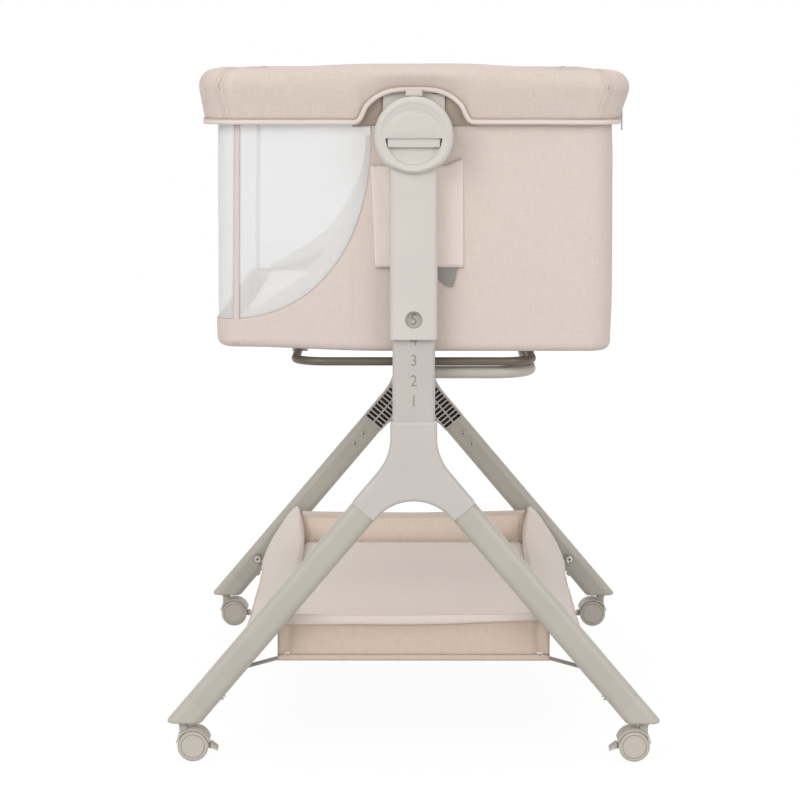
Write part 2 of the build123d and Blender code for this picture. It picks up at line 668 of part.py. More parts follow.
# ---- storage tray and the rods that carry it ----
with BuildPart() as tray:
    with BuildSketch(Plane.XY.offset(trayFloor)):
        Rectangle(2 * trayHalfWidth, 2 * trayHalfLength)
    extrude(amount=TRAY_WALL)
    for end in (1, -1):
        with BuildSketch(acrossY(end * trayHalfLength)):
            with Locations((0, trayFloor)):
                Rectangle(2 * trayHalfWidth, TRAY_TALL, align=(Align.CENTER, Align.MIN))
        extrude(amount=end * TRAY_WALL)
    for side in (1, -1):
        for y, topX, topZ, draw in (
            (-trayHalfLength, peakX, peakZ, 0),
            (PEAK_RUN - trayHalfLength, ridgeX, ridgeZ, SKIRT_DRAW),
            (trayHalfLength - PEAK_RUN, ridgeX, ridgeZ, SKIRT_DRAW),
            (trayHalfLength, peakX, peakZ, 0),
        ):
            with BuildSketch(acrossY(y)):
                with BuildLine():
                    Polyline(
                        (side * (trayHalfWidth - TRAY_WALL), trayFloor),
                        (side * trayHalfWidth, trayFloor),
                        (side * (topX + TRAY_WALL), topZ - RIDGE_ROOT * TRAY_WALL),
                        (side * (skirtX - draw - TRAY_WALL), skirtZ),
                        (side * (skirtX - draw), skirtZ + TRAY_WALL / 2),
                        (side * topX, topZ),
                        close=True,
                    )
                make_face()
        loft(ruled=True)
save(tray.part, "storage_tray")

with BuildPart() as trayBoard:
    with BuildSketch(Plane.XY.offset(trayFloor + TRAY_WALL + SOFT_GAP)):
        Rectangle(
            2 * (trayHalfWidth - TRAY_BOARD_MARGIN), 2 * (trayHalfLength - TRAY_BOARD_MARGIN)
        )
    extrude(amount=TRAY_BOARD_THICK)
save(trayBoard.part, "tray_board")

rodZ = trayFloor - ROD_DIAMETER / 2 - 2 * SOFT_GAP
rodY = -(trayHalfLength + 2 * SOFT_GAP + ROD_DIAMETER / 2)
eyeFaceY = rodY + EYE_THICK / 2
railEndY = rodY + ROD_DIAMETER / 2 + SOFT_GAP

with BuildPart() as trayBar:
    with BuildLine() as route:
        FilletPolyline(
            (-boltX, rodY, boltZ),
            (-trayHalfWidth, rodY, rodZ),
            (trayHalfWidth, rodY, rodZ),
            (boltX, rodY, boltZ),
            radius=ROD_CORNER,
        )
    with BuildSketch(Plane(origin=route.line @ 0, z_dir=route.line % 0)):
        Circle(ROD_DIAMETER / 2)
    sweep()
    with BuildSketch(acrossY(eyeFaceY)):
        with Locations((-boltX, boltZ), (boltX, boltZ)):
            Circle(EYE_DIAMETER / 2)
    extrude(amount=EYE_THICK)
    with BuildSketch(acrossY(eyeFaceY)):
        with Locations((-boltX, boltZ), (boltX, boltZ)):
            Circle(BOLT_DIAMETER / 2 + SOCKET_GAP)
    extrude(amount=EYE_THICK, mode=Mode.SUBTRACT)
saveEnds(trayBar.part, "tray_bar")

with BuildPart() as trayRail:
    with BuildSketch(acrossY(-railEndY)):
        with Locations((trayHalfWidth - ROD_CORNER, rodZ)):
            Circle(ROD_DIAMETER / 2)
    extrude(amount=-2 * railEndY)
save(Compound([*trayRail.part.solids(), *mirror(trayRail.part, about=Plane.YZ).solids()]), "tray_rails")

with BuildPart() as trayBolt:
    with BuildSketch(acrossY(eyeFaceY)):
        with Locations((boltX, boltZ)):
            Circle(BOLT_DIAMETER / 2)
    extrude(amount=EYE_THICK + BOLT_DEEP)
    with BuildSketch(acrossY(eyeFaceY)):
        with Locations((boltX, boltZ)):
            Circle(BOLT_HEAD / 2)
    head = extrude(amount=-BOLT_HEAD_TALL)
    chamfer(head.faces().sort_by(Axis.Y)[-1].edges(), BOLT_CHAMFER)
with BuildPart() as washer:
    with BuildSketch(acrossY(eyeFaceY - EYE_THICK)):
        with Locations((boltX, boltZ)):
            Circle(EYE_DIAMETER / 2)
            Circle(BOLT_DIAMETER / 2 + SOCKET_GAP, mode=Mode.SUBTRACT)
    extrude(amount=eyeFaceY - EYE_THICK - legInnerY)

with BuildPart() as stud:
    with BuildSketch(acrossY(-trayHalfLength - SOFT_GAP)):
        with Locations((peakX, peakZ - STUD_DIAMETER)):
            Circle(STUD_DIAMETER / 2)
    extrude(amount=-trayHalfLength - SOFT_GAP - legInnerY)
save(
    Compound(
        [*cornerSolids(trayBolt.part), *cornerSolids(washer.part), *cornerSolids(stud.part)]
    ),
    "tray_fixings",
)

# ---- sleeve housing: a tube that slides on the column, with a round cup on top ----
with BuildPart() as sleeve:
    with BuildSketch(Plane.XY.offset(sleeveBottom)):
        with Locations((0, (sleeveFrontY - sleeveInner) / 2)):
            RectangleRounded(SLEEVE_WIDTH, SLEEVE_DEPTH, SLEEVE_EDGE)
    extrude(amount=hubZ - sleeveBottom)
    with BuildSketch(acrossY(-sleeveInner)):
        with Locations((0, hubZ)):
            Circle(HUB_DIAMETER / 2)
    extrude(amount=SLEEVE_DEPTH)
    with BuildSketch(Plane.XY.offset(sleeveBottom)):
        with Locations((0, legPlaneY)):
            RectangleRounded(
                COLUMN_WIDTH + 2 * SLIDE_GAP, COLUMN_DEPTH + 2 * SLIDE_GAP, COLUMN_EDGE + SLIDE_GAP
            )
    extrude(amount=cavityTop - sleeveBottom, mode=Mode.SUBTRACT)
    with BuildSketch(acrossY(legPlaneY)):
        with Locations((0, tongueBottom - LEVER_TRAVEL)):
            Rectangle(CHANNEL_WIDTH, channelTop - tongueBottom, align=(Align.CENTER, Align.MIN))
    extrude(amount=legPlaneY - cavityFrontY, mode=Mode.SUBTRACT)
    with BuildSketch(acrossY(legPlaneY)):
        with Locations((0, windowZ)):
            Circle(WINDOW_DIAMETER / 2)
    extrude(amount=SLEEVE_DEPTH, mode=Mode.SUBTRACT)
    with BuildSketch(acrossY(legPlaneY)):
        with Locations((0, bridgeZ + LEVER_TRAVEL / 2)):
            Rectangle(BRIDGE_WIDTH + 2 * STOP_GAP, BRIDGE_TALL + LEVER_TRAVEL + 2 * STOP_GAP)
    extrude(amount=SLEEVE_DEPTH, mode=Mode.SUBTRACT)
    with BuildSketch(acrossY(sleeveFrontY)):
        with Locations((0, springTopZ)):
            Rectangle(SPRING_SEAT, SPRING_SEAT / 4, align=(Align.CENTER, Align.MIN))
    extrude(amount=sleeveFrontY - leverFrontY)
saveEnds(sleeve.part, "sleeve")

with BuildPart() as hubCover:
    ringOuter = HUB_DIAMETER / 2
    ringInner = ringOuter - HUB_RING
    with BuildSketch(Plane.XY.offset(hubZ)):
        with BuildLine():
            FilletPolyline(
                (0, faceBackY),
                (0, faceFrontY),
                (ringInner, faceFrontY),
                (ringInner + HUB_FACE_BACK, hubFrontY),
                (ringOuter, hubFrontY),
                (ringOuter, sleeveFrontY),
                (ringInner, sleeveFrontY),
                (ringInner, faceBackY),
                radius=(0, 0, HUB_FACE_BACK / 3, HUB_FACE_BACK, HUB_RING / 2, 0, 0, 0),
                close=True,
            )
        make_face()
    revolve(axis=Axis((0, 0, hubZ), (0, 1, 0)))
    with BuildSketch(acrossY(faceBackY)):
        with Locations((0, hubZ - HALF_MOON_DROP)):
            Circle(HALF_MOON / 2)
        with Locations((0, leverTopZ)):
            Rectangle(HALF_MOON, HALF_MOON, align=(Align.CENTER, Align.MIN), mode=Mode.SUBTRACT)
    extrude(amount=HUB_DEPTH, mode=Mode.SUBTRACT)
saveEnds(hubCover.part, "hub_cover")

# ---- release: a lever behind the hub's face, the lock pin that it draws, and its leaf spring ----
with BuildPart() as release:
    with BuildSketch(acrossY(leverFrontY + LEVER_THICK)):
        with Locations((0, leverTopZ)):
            Rectangle(LEVER_WIDTH, LEVER_BAR, align=(Align.CENTER, Align.MAX))
    bar = extrude(amount=LEVER_THICK)
    fillet(bar.faces().sort_by(Axis.Y)[0].edges(), LEVER_THICK / 4)
    with BuildSketch(acrossY(leverFrontY + LEVER_PLATE_THICK)):
        with Locations((0, leverTopZ - LEVER_BAR / 2)):
            Rectangle(
                LEVER_WIDTH - LEVER_BAR / 2, LEVER_PLATE + LEVER_BAR / 2, align=(Align.CENTER, Align.MIN)
            )
    extrude(amount=LEVER_PLATE_THICK)
    with BuildSketch(acrossY(tongueFrontY + TONGUE_THICK)):
        with Locations((0, bridgeZ)):
            Rectangle(BRIDGE_WIDTH, BRIDGE_TALL)
    extrude(amount=tongueFrontY + TONGUE_THICK - leverFrontY - LEVER_THICK / 2)
    with BuildSketch(acrossY(tongueFrontY + TONGUE_THICK)):
        with Locations((0, tongueBottom)):
            Rectangle(
                TONGUE_WIDTH,
                bridgeZ + BRIDGE_TALL / 2 - tongueBottom,
                align=(Align.CENTER, Align.MIN),
            )
            SlotOverall(4 * TONGUE_SLOT, TONGUE_SLOT, rotation=90, mode=Mode.SUBTRACT)
    extrude(amount=TONGUE_THICK)
saveEnds(release.part, "release_lever")

with BuildPart() as lockPin:
    with BuildSketch(acrossY(columnFrontY - PIN_CLEAR)):
        with Locations((0, lockTopZ)):
            Circle(PIN_DIAMETER / 2)
    extrude(amount=PIN_LENGTH)
    chamfer(lockPin.faces().sort_by(Axis.Y)[-1].edges(), PIN_CLEAR)
saveEnds(lockPin.part, "lock_pin")

with BuildPart() as spring:
    footZ = leverTopZ + LEVER_PLATE + SOFT_GAP
    crestZ = springTopZ - SOFT_GAP
    with BuildSketch(acrossY(leverFrontY + LEVER_THICK - SPRING_WALL)):
        with BuildLine():
            ThreePointArc((-SPRING_HALF, footZ), (0, crestZ), (SPRING_HALF, footZ))
            Line((SPRING_HALF, footZ), (SPRING_HALF - 2 * SPRING_WALL, footZ))
            ThreePointArc(
                (SPRING_HALF - 2 * SPRING_WALL, footZ),
                (0, crestZ - SPRING_WALL),
                (2 * SPRING_WALL - SPRING_HALF, footZ),
            )
            Line((2 * SPRING_WALL - SPRING_HALF, footZ), (-SPRING_HALF, footZ))
        make_face()
    extrude(amount=LEVER_THICK - 2 * SPRING_WALL)
saveEnds(spring.part, "release_spring")

# ---- frame that hangs the basket between the sleeves ----
with BuildPart() as rimTube:
    with BuildLine() as loop:
        FilletPolyline(
            (-railX, -railY, rimTubeZ),
            (railX, -railY, rimTubeZ),
            (railX, railY, rimTubeZ),
            (-railX, railY, rimTubeZ),
            radius=BODY_CORNER,
            close=True,
        )
    with BuildSketch(Plane(origin=(0, -railY, rimTubeZ), z_dir=(1, 0, 0))):
        Circle(RIM_TUBE / 2)
    sweep(path=Wire([edge for edge in loop.line.edges()]))
save(rimTube.part, "rim_tube")

bracketFrontY = -(sleeveInner - SOFT_GAP / 3)
with BuildPart() as rimBracket:
    with BuildSketch(acrossY(bracketFrontY + BRACKET_THICK)):
        with Locations((0, bracketBottom)):
            Rectangle(BRACKET_WIDTH, bracketTop - bracketBottom, align=(Align.CENTER, Align.MIN))
        with Locations((0, bracketBottom)):
            Rectangle(CLAMP_WIDTH, rimTubeZ - bracketBottom, align=(Align.CENTER, Align.MIN))
    extrude(amount=BRACKET_THICK)
    with BuildSketch(Plane(origin=(-CLAMP_WIDTH / 2, -railY, rimTubeZ), z_dir=(1, 0, 0))):
        Circle(CLAMP_DIAMETER / 2)
    extrude(amount=CLAMP_WIDTH)
    with BuildSketch(acrossY(bracketFrontY)):
        with Locations((0, archTop - TAB_GAP)):
            Rectangle(TAB_WIDTH, TAB_TALL, align=(Align.CENTER, Align.MAX))
    extrude(amount=TAB_REACH)
    with BuildSketch(Plane(origin=(-CLAMP_WIDTH / 2, -railY, rimTubeZ), z_dir=(1, 0, 0))):
        Circle(RIM_TUBE / 2 + RUNNING_GAP)
    extrude(amount=CLAMP_WIDTH, mode=Mode.SUBTRACT)
saveEnds(rimBracket.part, "rim_bracket")

postBackY = -(BODY_LENGTH / 2 + 2 * SOFT_GAP)
postFrontY = postBackY - POST_THICK
socketX = POST_WIDTH / 2 - BAR_SOCKET
with BuildPart() as endPost:
    with BuildSketch(acrossY(postBackY)):
        with Locations((0, saddleTop - SADDLE_EDGE)):
            Rectangle(
                POST_WIDTH, bracketBottom - saddleTop + SADDLE_EDGE, align=(Align.CENTER, Align.MIN)
            )
    extrude(amount=POST_THICK)
    with BuildSketch(Plane(origin=(-POST_WIDTH / 2, 0, 0), x_dir=(0, 1, 0), z_dir=(1, 0, 0))):
        with BuildLine():
            FilletPolyline(
                (postFrontY, saddleTop),
                (postFrontY, postBottom),
                (postFrontY + SADDLE_DEPTH, postBottom),
                (postFrontY + SADDLE_DEPTH, saddleTop),
                radius=(0, SADDLE_EDGE, SADDLE_EDGE, SADDLE_EDGE),
                close=True,
            )
        make_face()
    extrude(amount=POST_WIDTH)
    with BuildSketch(Plane(origin=(-POST_WIDTH / 2, 0, 0), x_dir=(0, 1, 0), z_dir=(1, 0, 0))):
        with Locations((ringY, ringZ)):
            Circle(RING_TUBE / 2 + RUNNING_GAP)
    extrude(amount=POST_WIDTH, mode=Mode.SUBTRACT)
    with BuildSketch(Plane(origin=(socketX, 0, 0), x_dir=(0, 1, 0), z_dir=(1, 0, 0))):
        with Locations((barY, barZ)):
            Circle(BAR_TUBE / 2 + RUNNING_GAP)
    extrude(amount=BAR_SOCKET, mode=Mode.SUBTRACT)
    with BuildSketch(acrossY(postFrontY)):
        with Locations((FOLD_PIVOT_X, foldPivotZ)):
            Circle(FOLD_PIN / 2)
    extrude(amount=FOLD_THICK + 2 * SLIDE_GAP)
saveEnds(endPost.part, "end_post")

with BuildPart() as foldLever:
    with BuildSketch(acrossY(postFrontY - SLIDE_GAP)):
        with Locations((FOLD_PIVOT_X, foldPivotZ)):
            Circle(FOLD_BOSS / 2)
        with BuildLine(Plane(origin=(FOLD_PIVOT_X, foldPivotZ, 0))):
            FilletPolyline(
                (0, FOLD_BOSS / 2),
                (FOLD_REACH - FOLD_SHOULDER, -FOLD_DROP / 4),
                (FOLD_REACH, FOLD_SHOULDER - FOLD_DROP / 2),
                (FOLD_REACH - FOLD_SHOULDER, -FOLD_DROP),
                (FOLD_REACH - FOLD_THUMB, FOLD_SHOULDER / 2 - FOLD_DROP),
                (FOLD_REACH / 3, -FOLD_DROP / 2),
                (0, -FOLD_BOSS / 2),
                radius=FOLD_CORNER,
            )
            Line((0, -FOLD_BOSS / 2), (0, FOLD_BOSS / 2))
        make_face()
        with Locations((FOLD_PIVOT_X, foldPivotZ)):
            Circle(FOLD_PIN / 2 + RUNNING_GAP, mode=Mode.SUBTRACT)
    extrude(amount=FOLD_THICK)
saveEnds(foldLever.part, "fold_lever")

with BuildPart() as flap:
    with BuildSketch(Plane.XY.offset(flapBottom)):
        with Locations((FLAP_LEFT, flapFrontY)):
            Rectangle(FLAP_RIGHT - FLAP_LEFT, FLAP_WALL, align=(Align.MIN, Align.MIN))
            Rectangle(FLAP_WALL, bodyEndY - flapFrontY - SOFT_GAP, align=(Align.MIN, Align.MIN))
        with Locations((FLAP_RIGHT, flapFrontY)):
            Rectangle(FLAP_WALL, bodyEndY - flapFrontY - SOFT_GAP, align=(Align.MAX, Align.MIN))
    extrude(amount=bracketBottom - SOFT_GAP - flapBottom)
save(Compound([*flap.part.solids(), *mirror(flap.part, about=Plane.XZ).solids()]), "end_flaps")

with BuildPart() as baseRing:
    with BuildLine() as loop:
        FilletPolyline(
            (-ringX, ringY, ringZ),
            (ringX, ringY, ringZ),
            (ringX, -ringY, ringZ),
            (-ringX, -ringY, ringZ),
            radius=RING_CORNER,
            close=True,
        )
    with BuildSketch(Plane(origin=(0, ringY, ringZ), z_dir=(1, 0, 0))):
        Circle(RING_TUBE / 2)
    sweep(path=Wire([edge for edge in loop.line.edges()]))
save(baseRing.part, "base_ring")

with BuildPart() as sideBar:
    with BuildLine() as loop:
        FilletPolyline(
            (socketX + SOFT_GAP, barY, barZ),
            (barX, barY, barZ),
            (barX, -barY, barZ),
            (socketX + SOFT_GAP, -barY, barZ),
            radius=BAR_CORNER,
        )
    with BuildSketch(Plane(origin=loop.line @ 0, z_dir=loop.line % 0)):
        Circle(BAR_TUBE / 2)
    sweep()
save(sideBar.part, "side_bar")

with BuildPart() as clip:
    clipTop = bodyBottom - SOFT_GAP
    with BuildSketch(acrossY(CLIP_LENGTH / 2 + CLIP_AT * ringY)):
        with Locations((ringX, clipTop)):
            Rectangle(CLIP_WIDTH, clipTop - ringZ + CLIP_GRIP, align=(Align.CENTER, Align.MAX))
        with Locations((ringX, ringZ)):
            Circle(RING_TUBE / 2 + RUNNING_GAP, mode=Mode.SUBTRACT)
    extrude(amount=CLIP_LENGTH)
save(Compound(cornerSolids(clip.part)), "base_clips")

# ---- basket: fabric on the right and below, mesh on the left ----
def windowOutline(gap=0.0):
    """The mesh window seen from the near end, drawn in by a gap, open to the left and upwards."""
    sill = bodyBottom + WINDOW_SILL + gap
    right = -WINDOW_RIGHT - gap
    arcX = WINDOW_ARC_IN - BODY_WIDTH / 2
    arcZ = bodyBottom + WINDOW_SILL + WINDOW_ARC_RISE
    beyond = -BODY_WIDTH
    above = 2 * bodyTop
    Line((beyond, sill), (arcX, sill))
    EllipticalCenterArc(
        center=(arcX, arcZ),
        x_radius=right - arcX,
        y_radius=arcZ - sill,
        start_angle=-90,
        arc_size=90,
    )
    Polyline((right, arcZ), (right, above), (beyond, above), (beyond, sill))


with BuildPart() as fabric:
    with BuildSketch(Plane.XY.offset(bodyBottom)):
        RectangleRounded(BODY_WIDTH, BODY_LENGTH, BODY_CORNER)
    extrude(amount=BODY_TALL)
    with BuildSketch(Plane.XY.offset(bodyBottom + FLOOR_WALL)):
        RectangleRounded(
            BODY_WIDTH - 2 * FABRIC_WALL, BODY_LENGTH - 2 * FABRIC_WALL, BODY_CORNER - FABRIC_WALL
        )
    extrude(amount=BODY_TALL, mode=Mode.SUBTRACT)
    with BuildSketch(acrossY(BODY_LENGTH / 2)):
        with BuildLine():
            windowOutline()
        make_face()
    extrude(amount=BODY_LENGTH, mode=Mode.SUBTRACT)
save(fabric.part, "basket_fabric")

with BuildPart() as mesh:
    with BuildSketch(Plane.XY.offset(bodyBottom)):
        RectangleRounded(BODY_WIDTH, BODY_LENGTH, BODY_CORNER)
        RectangleRounded(
            BODY_WIDTH - 2 * MESH_WALL,
            BODY_LENGTH - 2 * MESH_WALL,
            BODY_CORNER - MESH_WALL,
            mode=Mode.SUBTRACT,
        )
    extrude(amount=BODY_TALL)
    with BuildSketch(acrossY(BODY_LENGTH / 2)):
        with BuildLine():
            windowOutline(SOFT_GAP)
        make_face()
    extrude(amount=BODY_LENGTH, mode=Mode.INTERSECT)
save(mesh.part, "basket_mesh")

boardZ = bodyBottom + FLOOR_WALL + SOFT_GAP
mattressZ = boardZ + BOARD_THICK + SOFT_GAP
with BuildPart() as board:
    with BuildSketch(Plane.XY.offset(boardZ)):
        RectangleRounded(
            BODY_WIDTH - 2 * (FABRIC_WALL + BOARD_MARGIN),
            BODY_LENGTH - 2 * (FABRIC_WALL + BOARD_MARGIN),
            BODY_CORNER - FABRIC_WALL - BOARD_MARGIN,
        )
    extrude(amount=BOARD_THICK)
save(board.part, "base_board")

with BuildPart() as mattress:
    with BuildSketch(Plane.XY.offset(mattressZ)):
        RectangleRounded(
            BODY_WIDTH - 2 * (FABRIC_WALL + MATTRESS_MARGIN),
            BODY_LENGTH - 2 * (FABRIC_WALL + MATTRESS_MARGIN),
            BODY_CORNER - FABRIC_WALL - MATTRESS_MARGIN,
        )
    extrude(amount=MATTRESS_THICK)
    fillet(mattress.faces().sort_by(Axis.Z)[-1].edges(), MATTRESS_EDGE)
save(mattress.part, "mattress")

# ---- padded rim: a channel turned over the rim tube ----
with BuildPart() as rim:
    rimWidth = BODY_WIDTH + 2 * RIM_PROUD
    rimLength = BODY_LENGTH + 2 * RIM_PROUD
    lowerRise = RIM_TALL - RIM_SHOULDER
    with BuildSketch(Plane.XY.offset(rimBottom)):
        RectangleRounded(
            rimWidth - 2 * RIM_TAPER, rimLength - 2 * RIM_TAPER, RIM_CORNER - RIM_TAPER
        )
    extrude(amount=lowerRise, taper=-degrees(atan2(RIM_TAPER, lowerRise)))
    with BuildSketch(Plane.XY.offset(rimWidestZ)):
        RectangleRounded(rimWidth, rimLength, RIM_CORNER)
    extrude(amount=RIM_SHOULDER)
    fillet(rim.faces().sort_by(Axis.Z)[-1].edges(), RIM_CROWN)
    with BuildSketch(Plane.XY.offset(rimBottom)):
        RectangleRounded(rimWidth - 2 * RIM_BAND, rimLength - 2 * RIM_BAND, BODY_CORNER / 2)
    extrude(amount=RIM_TALL, mode=Mode.SUBTRACT)
    with BuildSketch(Plane.XY.offset(rimBottom)):
        RectangleRounded(
            BODY_WIDTH + 2 * CHANNEL_OUTSIDE,
            BODY_LENGTH + 2 * CHANNEL_OUTSIDE,
            BODY_CORNER + CHANNEL_OUTSIDE,
        )
        RectangleRounded(
            BODY_WIDTH - 2 * CHANNEL_INSIDE,
            BODY_LENGTH - 2 * CHANNEL_INSIDE,
            BODY_CORNER / 2,
            mode=Mode.SUBTRACT,
        )
    extrude(amount=channelCeiling - rimBottom, mode=Mode.SUBTRACT)
    with BuildSketch(Plane.XY.offset(rimBottom)):
        Rectangle(BODY_WIDTH - 2 * CHANNEL_INSIDE, BODY_LENGTH - 2 * CHANNEL_INSIDE)
    extrude(amount=RIM_TALL - RIM_INNER_TALL, mode=Mode.SUBTRACT)
    for end in (1, -1):
        with BuildSketch(acrossY(end * rimLength / 2)):
            with BuildLine():
                FilletPolyline(
                    (-ARCH_FOOT, rimBottom),
                    (-ARCH_SHOULDER, archTop - ARCH_RISE),
                    (-ARCH_HEAD, archTop),
                    (ARCH_HEAD, archTop),
                    (ARCH_SHOULDER, archTop - ARCH_RISE),
                    (ARCH_FOOT, rimBottom),
                    radius=ARCH_RISE,
                )
                Line((ARCH_FOOT, rimBottom), (-ARCH_FOOT, rimBottom))
            make_face()
        extrude(amount=end * (RIM_PROUD - CHANNEL_OUTSIDE), mode=Mode.SUBTRACT)
save(rim.part, "rim_cover")

# ---- zip along the right side ----
zipCornerX = BODY_WIDTH / 2 - BODY_CORNER
zipCornerY = BODY_CORNER - BODY_LENGTH / 2
zipAngle = degrees(acos(1 - ZIP_IN / BODY_CORNER))
zipHalfAngle = degrees(ZIP_WIDTH / 2 / BODY_CORNER)
rimSlope = RIM_TAPER / (RIM_TALL - RIM_SHOULDER)


def rimFaceX(z):
    return BODY_WIDTH / 2 + RIM_PROUD - RIM_TAPER + rimSlope * (z - rimBottom)


with BuildPart() as zipEnd:
    with BuildSketch(Plane.XY.offset(zipBottom)):
        with BuildLine():
            middle = (zipCornerX, zipCornerY)
            near = BODY_CORNER + SOFT_GAP
            start = -zipAngle - zipHalfAngle
            inner = CenterArc(middle, near, start, 2 * zipHalfAngle)
            outer = CenterArc(middle, near + ZIP_THICK, start, 2 * zipHalfAngle)
            Line(inner @ 0, outer @ 0)
            Line(inner @ 1, outer @ 1)
        make_face()
    extrude(amount=rimBottom - SOFT_GAP - zipBottom)
with BuildPart() as zipRun:
    lowX = rimFaceX(zipRunZ - ZIP_WIDTH / 2) + SOFT_GAP
    highX = rimFaceX(zipRunZ + ZIP_WIDTH / 2) + SOFT_GAP
    with BuildSketch(acrossY(zipRunHalf + SLIDER_LENGTH)):
        with BuildLine():
            Polyline(
                (lowX, zipRunZ - ZIP_WIDTH / 2),
                (lowX + ZIP_THICK, zipRunZ - ZIP_WIDTH / 2),
                (highX + ZIP_THICK, zipRunZ + ZIP_WIDTH / 2),
                (highX, zipRunZ + ZIP_WIDTH / 2),
                close=True,
            )
        make_face()
    extrude(amount=2 * (zipRunHalf + SLIDER_LENGTH))
save(
    Compound([*zipEnd.part.solids(), *mirror(zipEnd.part, about=Plane.XZ).solids(), *zipRun.part.solids()]),
    "zip_chain",
)

with BuildPart() as slider:
    sliderX = highX + ZIP_THICK + SOFT_GAP
    with BuildSketch(acrossY(SLIDER_LENGTH / 2 - zipRunHalf)):
        with Locations((sliderX, zipRunZ)):
            Rectangle(SLIDER_THICK, SLIDER_TALL, align=(Align.MIN, Align.CENTER))
    extrude(amount=SLIDER_LENGTH)
    fillet(slider.faces().sort_by(Axis.X)[-1].edges(), SLIDER_THICK / 3)
    with BuildSketch(acrossY(PULL_WIDTH / 2 - zipRunHalf)):
        with Locations((sliderX + SLIDER_THICK - PULL_THICK, zipRunZ)):
            Rectangle(PULL_THICK, PULL_LENGTH + SLIDER_TALL / 2, align=(Align.MIN, Align.MAX))
    extrude(amount=PULL_WIDTH)
save(slider.part, "zip_slider")
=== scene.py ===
from math import acos, cos, pi, radians, sin, sqrt

import bmesh
import bpy
from mathutils import Euler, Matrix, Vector, noise


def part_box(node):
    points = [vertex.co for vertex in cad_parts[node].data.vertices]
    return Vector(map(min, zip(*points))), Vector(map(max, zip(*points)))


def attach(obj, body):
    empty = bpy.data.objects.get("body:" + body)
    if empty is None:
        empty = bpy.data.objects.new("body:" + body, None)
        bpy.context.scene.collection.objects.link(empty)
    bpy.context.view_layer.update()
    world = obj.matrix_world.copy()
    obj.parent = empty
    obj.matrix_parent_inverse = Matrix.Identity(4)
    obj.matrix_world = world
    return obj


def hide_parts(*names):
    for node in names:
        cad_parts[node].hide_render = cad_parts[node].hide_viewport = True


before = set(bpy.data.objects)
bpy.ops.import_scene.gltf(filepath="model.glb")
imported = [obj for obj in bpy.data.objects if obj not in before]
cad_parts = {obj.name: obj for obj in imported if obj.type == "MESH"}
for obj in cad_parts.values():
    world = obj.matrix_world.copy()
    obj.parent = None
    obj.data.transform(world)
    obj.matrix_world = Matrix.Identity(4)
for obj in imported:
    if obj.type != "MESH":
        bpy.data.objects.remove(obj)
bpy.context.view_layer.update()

mm = 0.001


def rgb(red, green, blue):  # a display colour, each part from 0 to 255, as linear values
    parts = [part / 255 for part in (red, green, blue)]
    return [part / 12.92 if part <= 0.04045 else ((part + 0.055) / 1.055) ** 2.4 for part in parts] + [1]


def ends():  # the two ends of the bassinet: the name, and the sign of Y
    return (("near", -1), ("far", 1))


# ---- node trees ----
def addNode(tree, kind, inputs=(), **settings):  # inputs are values, or the sockets to link from
    node = tree.nodes.new(kind)
    for name, value in settings.items():
        setattr(node, name, value)
    for name, value in dict(inputs).items():
        if isinstance(value, bpy.types.NodeSocket):
            tree.links.new(value, node.inputs[name])
        else:
            node.inputs[name].default_value = value
    return node


def math(tree, operation, *values):
    return addNode(tree, "ShaderNodeMath", dict(enumerate(values)), operation=operation).outputs[0]


def newGroup(name, inputs, outputs, kind="ShaderNodeTree"):
    group = bpy.data.node_groups.new(name, kind)
    for title, socketKind, value in inputs:
        socket = group.interface.new_socket(title, in_out="INPUT", socket_type=f"NodeSocket{socketKind}")
        if value is not None:
            socket.default_value = value
    for title, socketKind in outputs:
        group.interface.new_socket(title, in_out="OUTPUT", socket_type=f"NodeSocket{socketKind}")
    return group, group.nodes.new("NodeGroupInput"), group.nodes.new("NodeGroupOutput")


def threadPlace(group, given, count):  # the place counted in threads: as a vector, across and along
    inputs = {0: given.outputs["Place"], "Scale": given.outputs[count]}
    scaled = addNode(group, "ShaderNodeVectorMath", inputs, operation="SCALE").outputs[0]
    split = addNode(group, "ShaderNodeSeparateXYZ", {"Vector": scaled})
    return scaled, split.outputs[0], split.outputs[1]


def ridges(group, value):  # one rounded ridge for each thread
    return math(group, "ABSOLUTE", math(group, "SINE", math(group, "MULTIPLY", value, pi)))


def makeWeaveGroup():  # a plain weave with uneven yarn, from a place in metres
    group, given, result = newGroup(
        "yarnWeave",
        (("Place", "Vector", None), ("Threads", "Float", 1500), ("Slub", "Float", 0.5)),
        (("Tone", "Float"), ("Height", "Float")),
    )
    scaled, across, along = threadPlace(group, given, "Threads")
    steps = math(group, "ADD", math(group, "FLOOR", across), math(group, "FLOOR", along))
    over = math(group, "GREATER_THAN", math(group, "FRACT", math(group, "MULTIPLY", steps, 0.5)), 0.25)
    warp = math(group, "MULTIPLY", ridges(group, across), over)
    weft = math(group, "MULTIPLY", ridges(group, along), math(group, "SUBTRACT", 1, over))
    height = math(group, "ADD", warp, weft)
    streaks = []
    for stretch in ((0.035, 0.55, 0.1), (0.5, 0.03, 0.1)):
        drawn = addNode(group, "ShaderNodeVectorMath", {0: scaled, 1: stretch}, operation="MULTIPLY")
        inputs = {"Vector": drawn.outputs[0], "Scale": 1, "Detail": 3, "Roughness": 0.7}
        streaks.append(addNode(group, "ShaderNodeTexNoise", inputs).outputs["Fac"])
    slub = math(group, "SUBTRACT", math(group, "ADD", *streaks), 1)
    tone = math(group, "MULTIPLY_ADD", slub, given.outputs["Slub"], 0.5)
    shaded = math(group, "MULTIPLY_ADD", height, 0.12, math(group, "SUBTRACT", tone, 0.07))
    group.links.new(shaded, result.inputs["Tone"])
    group.links.new(math(group, "MULTIPLY_ADD", slub, 0.6, height), result.inputs["Height"])
    return group


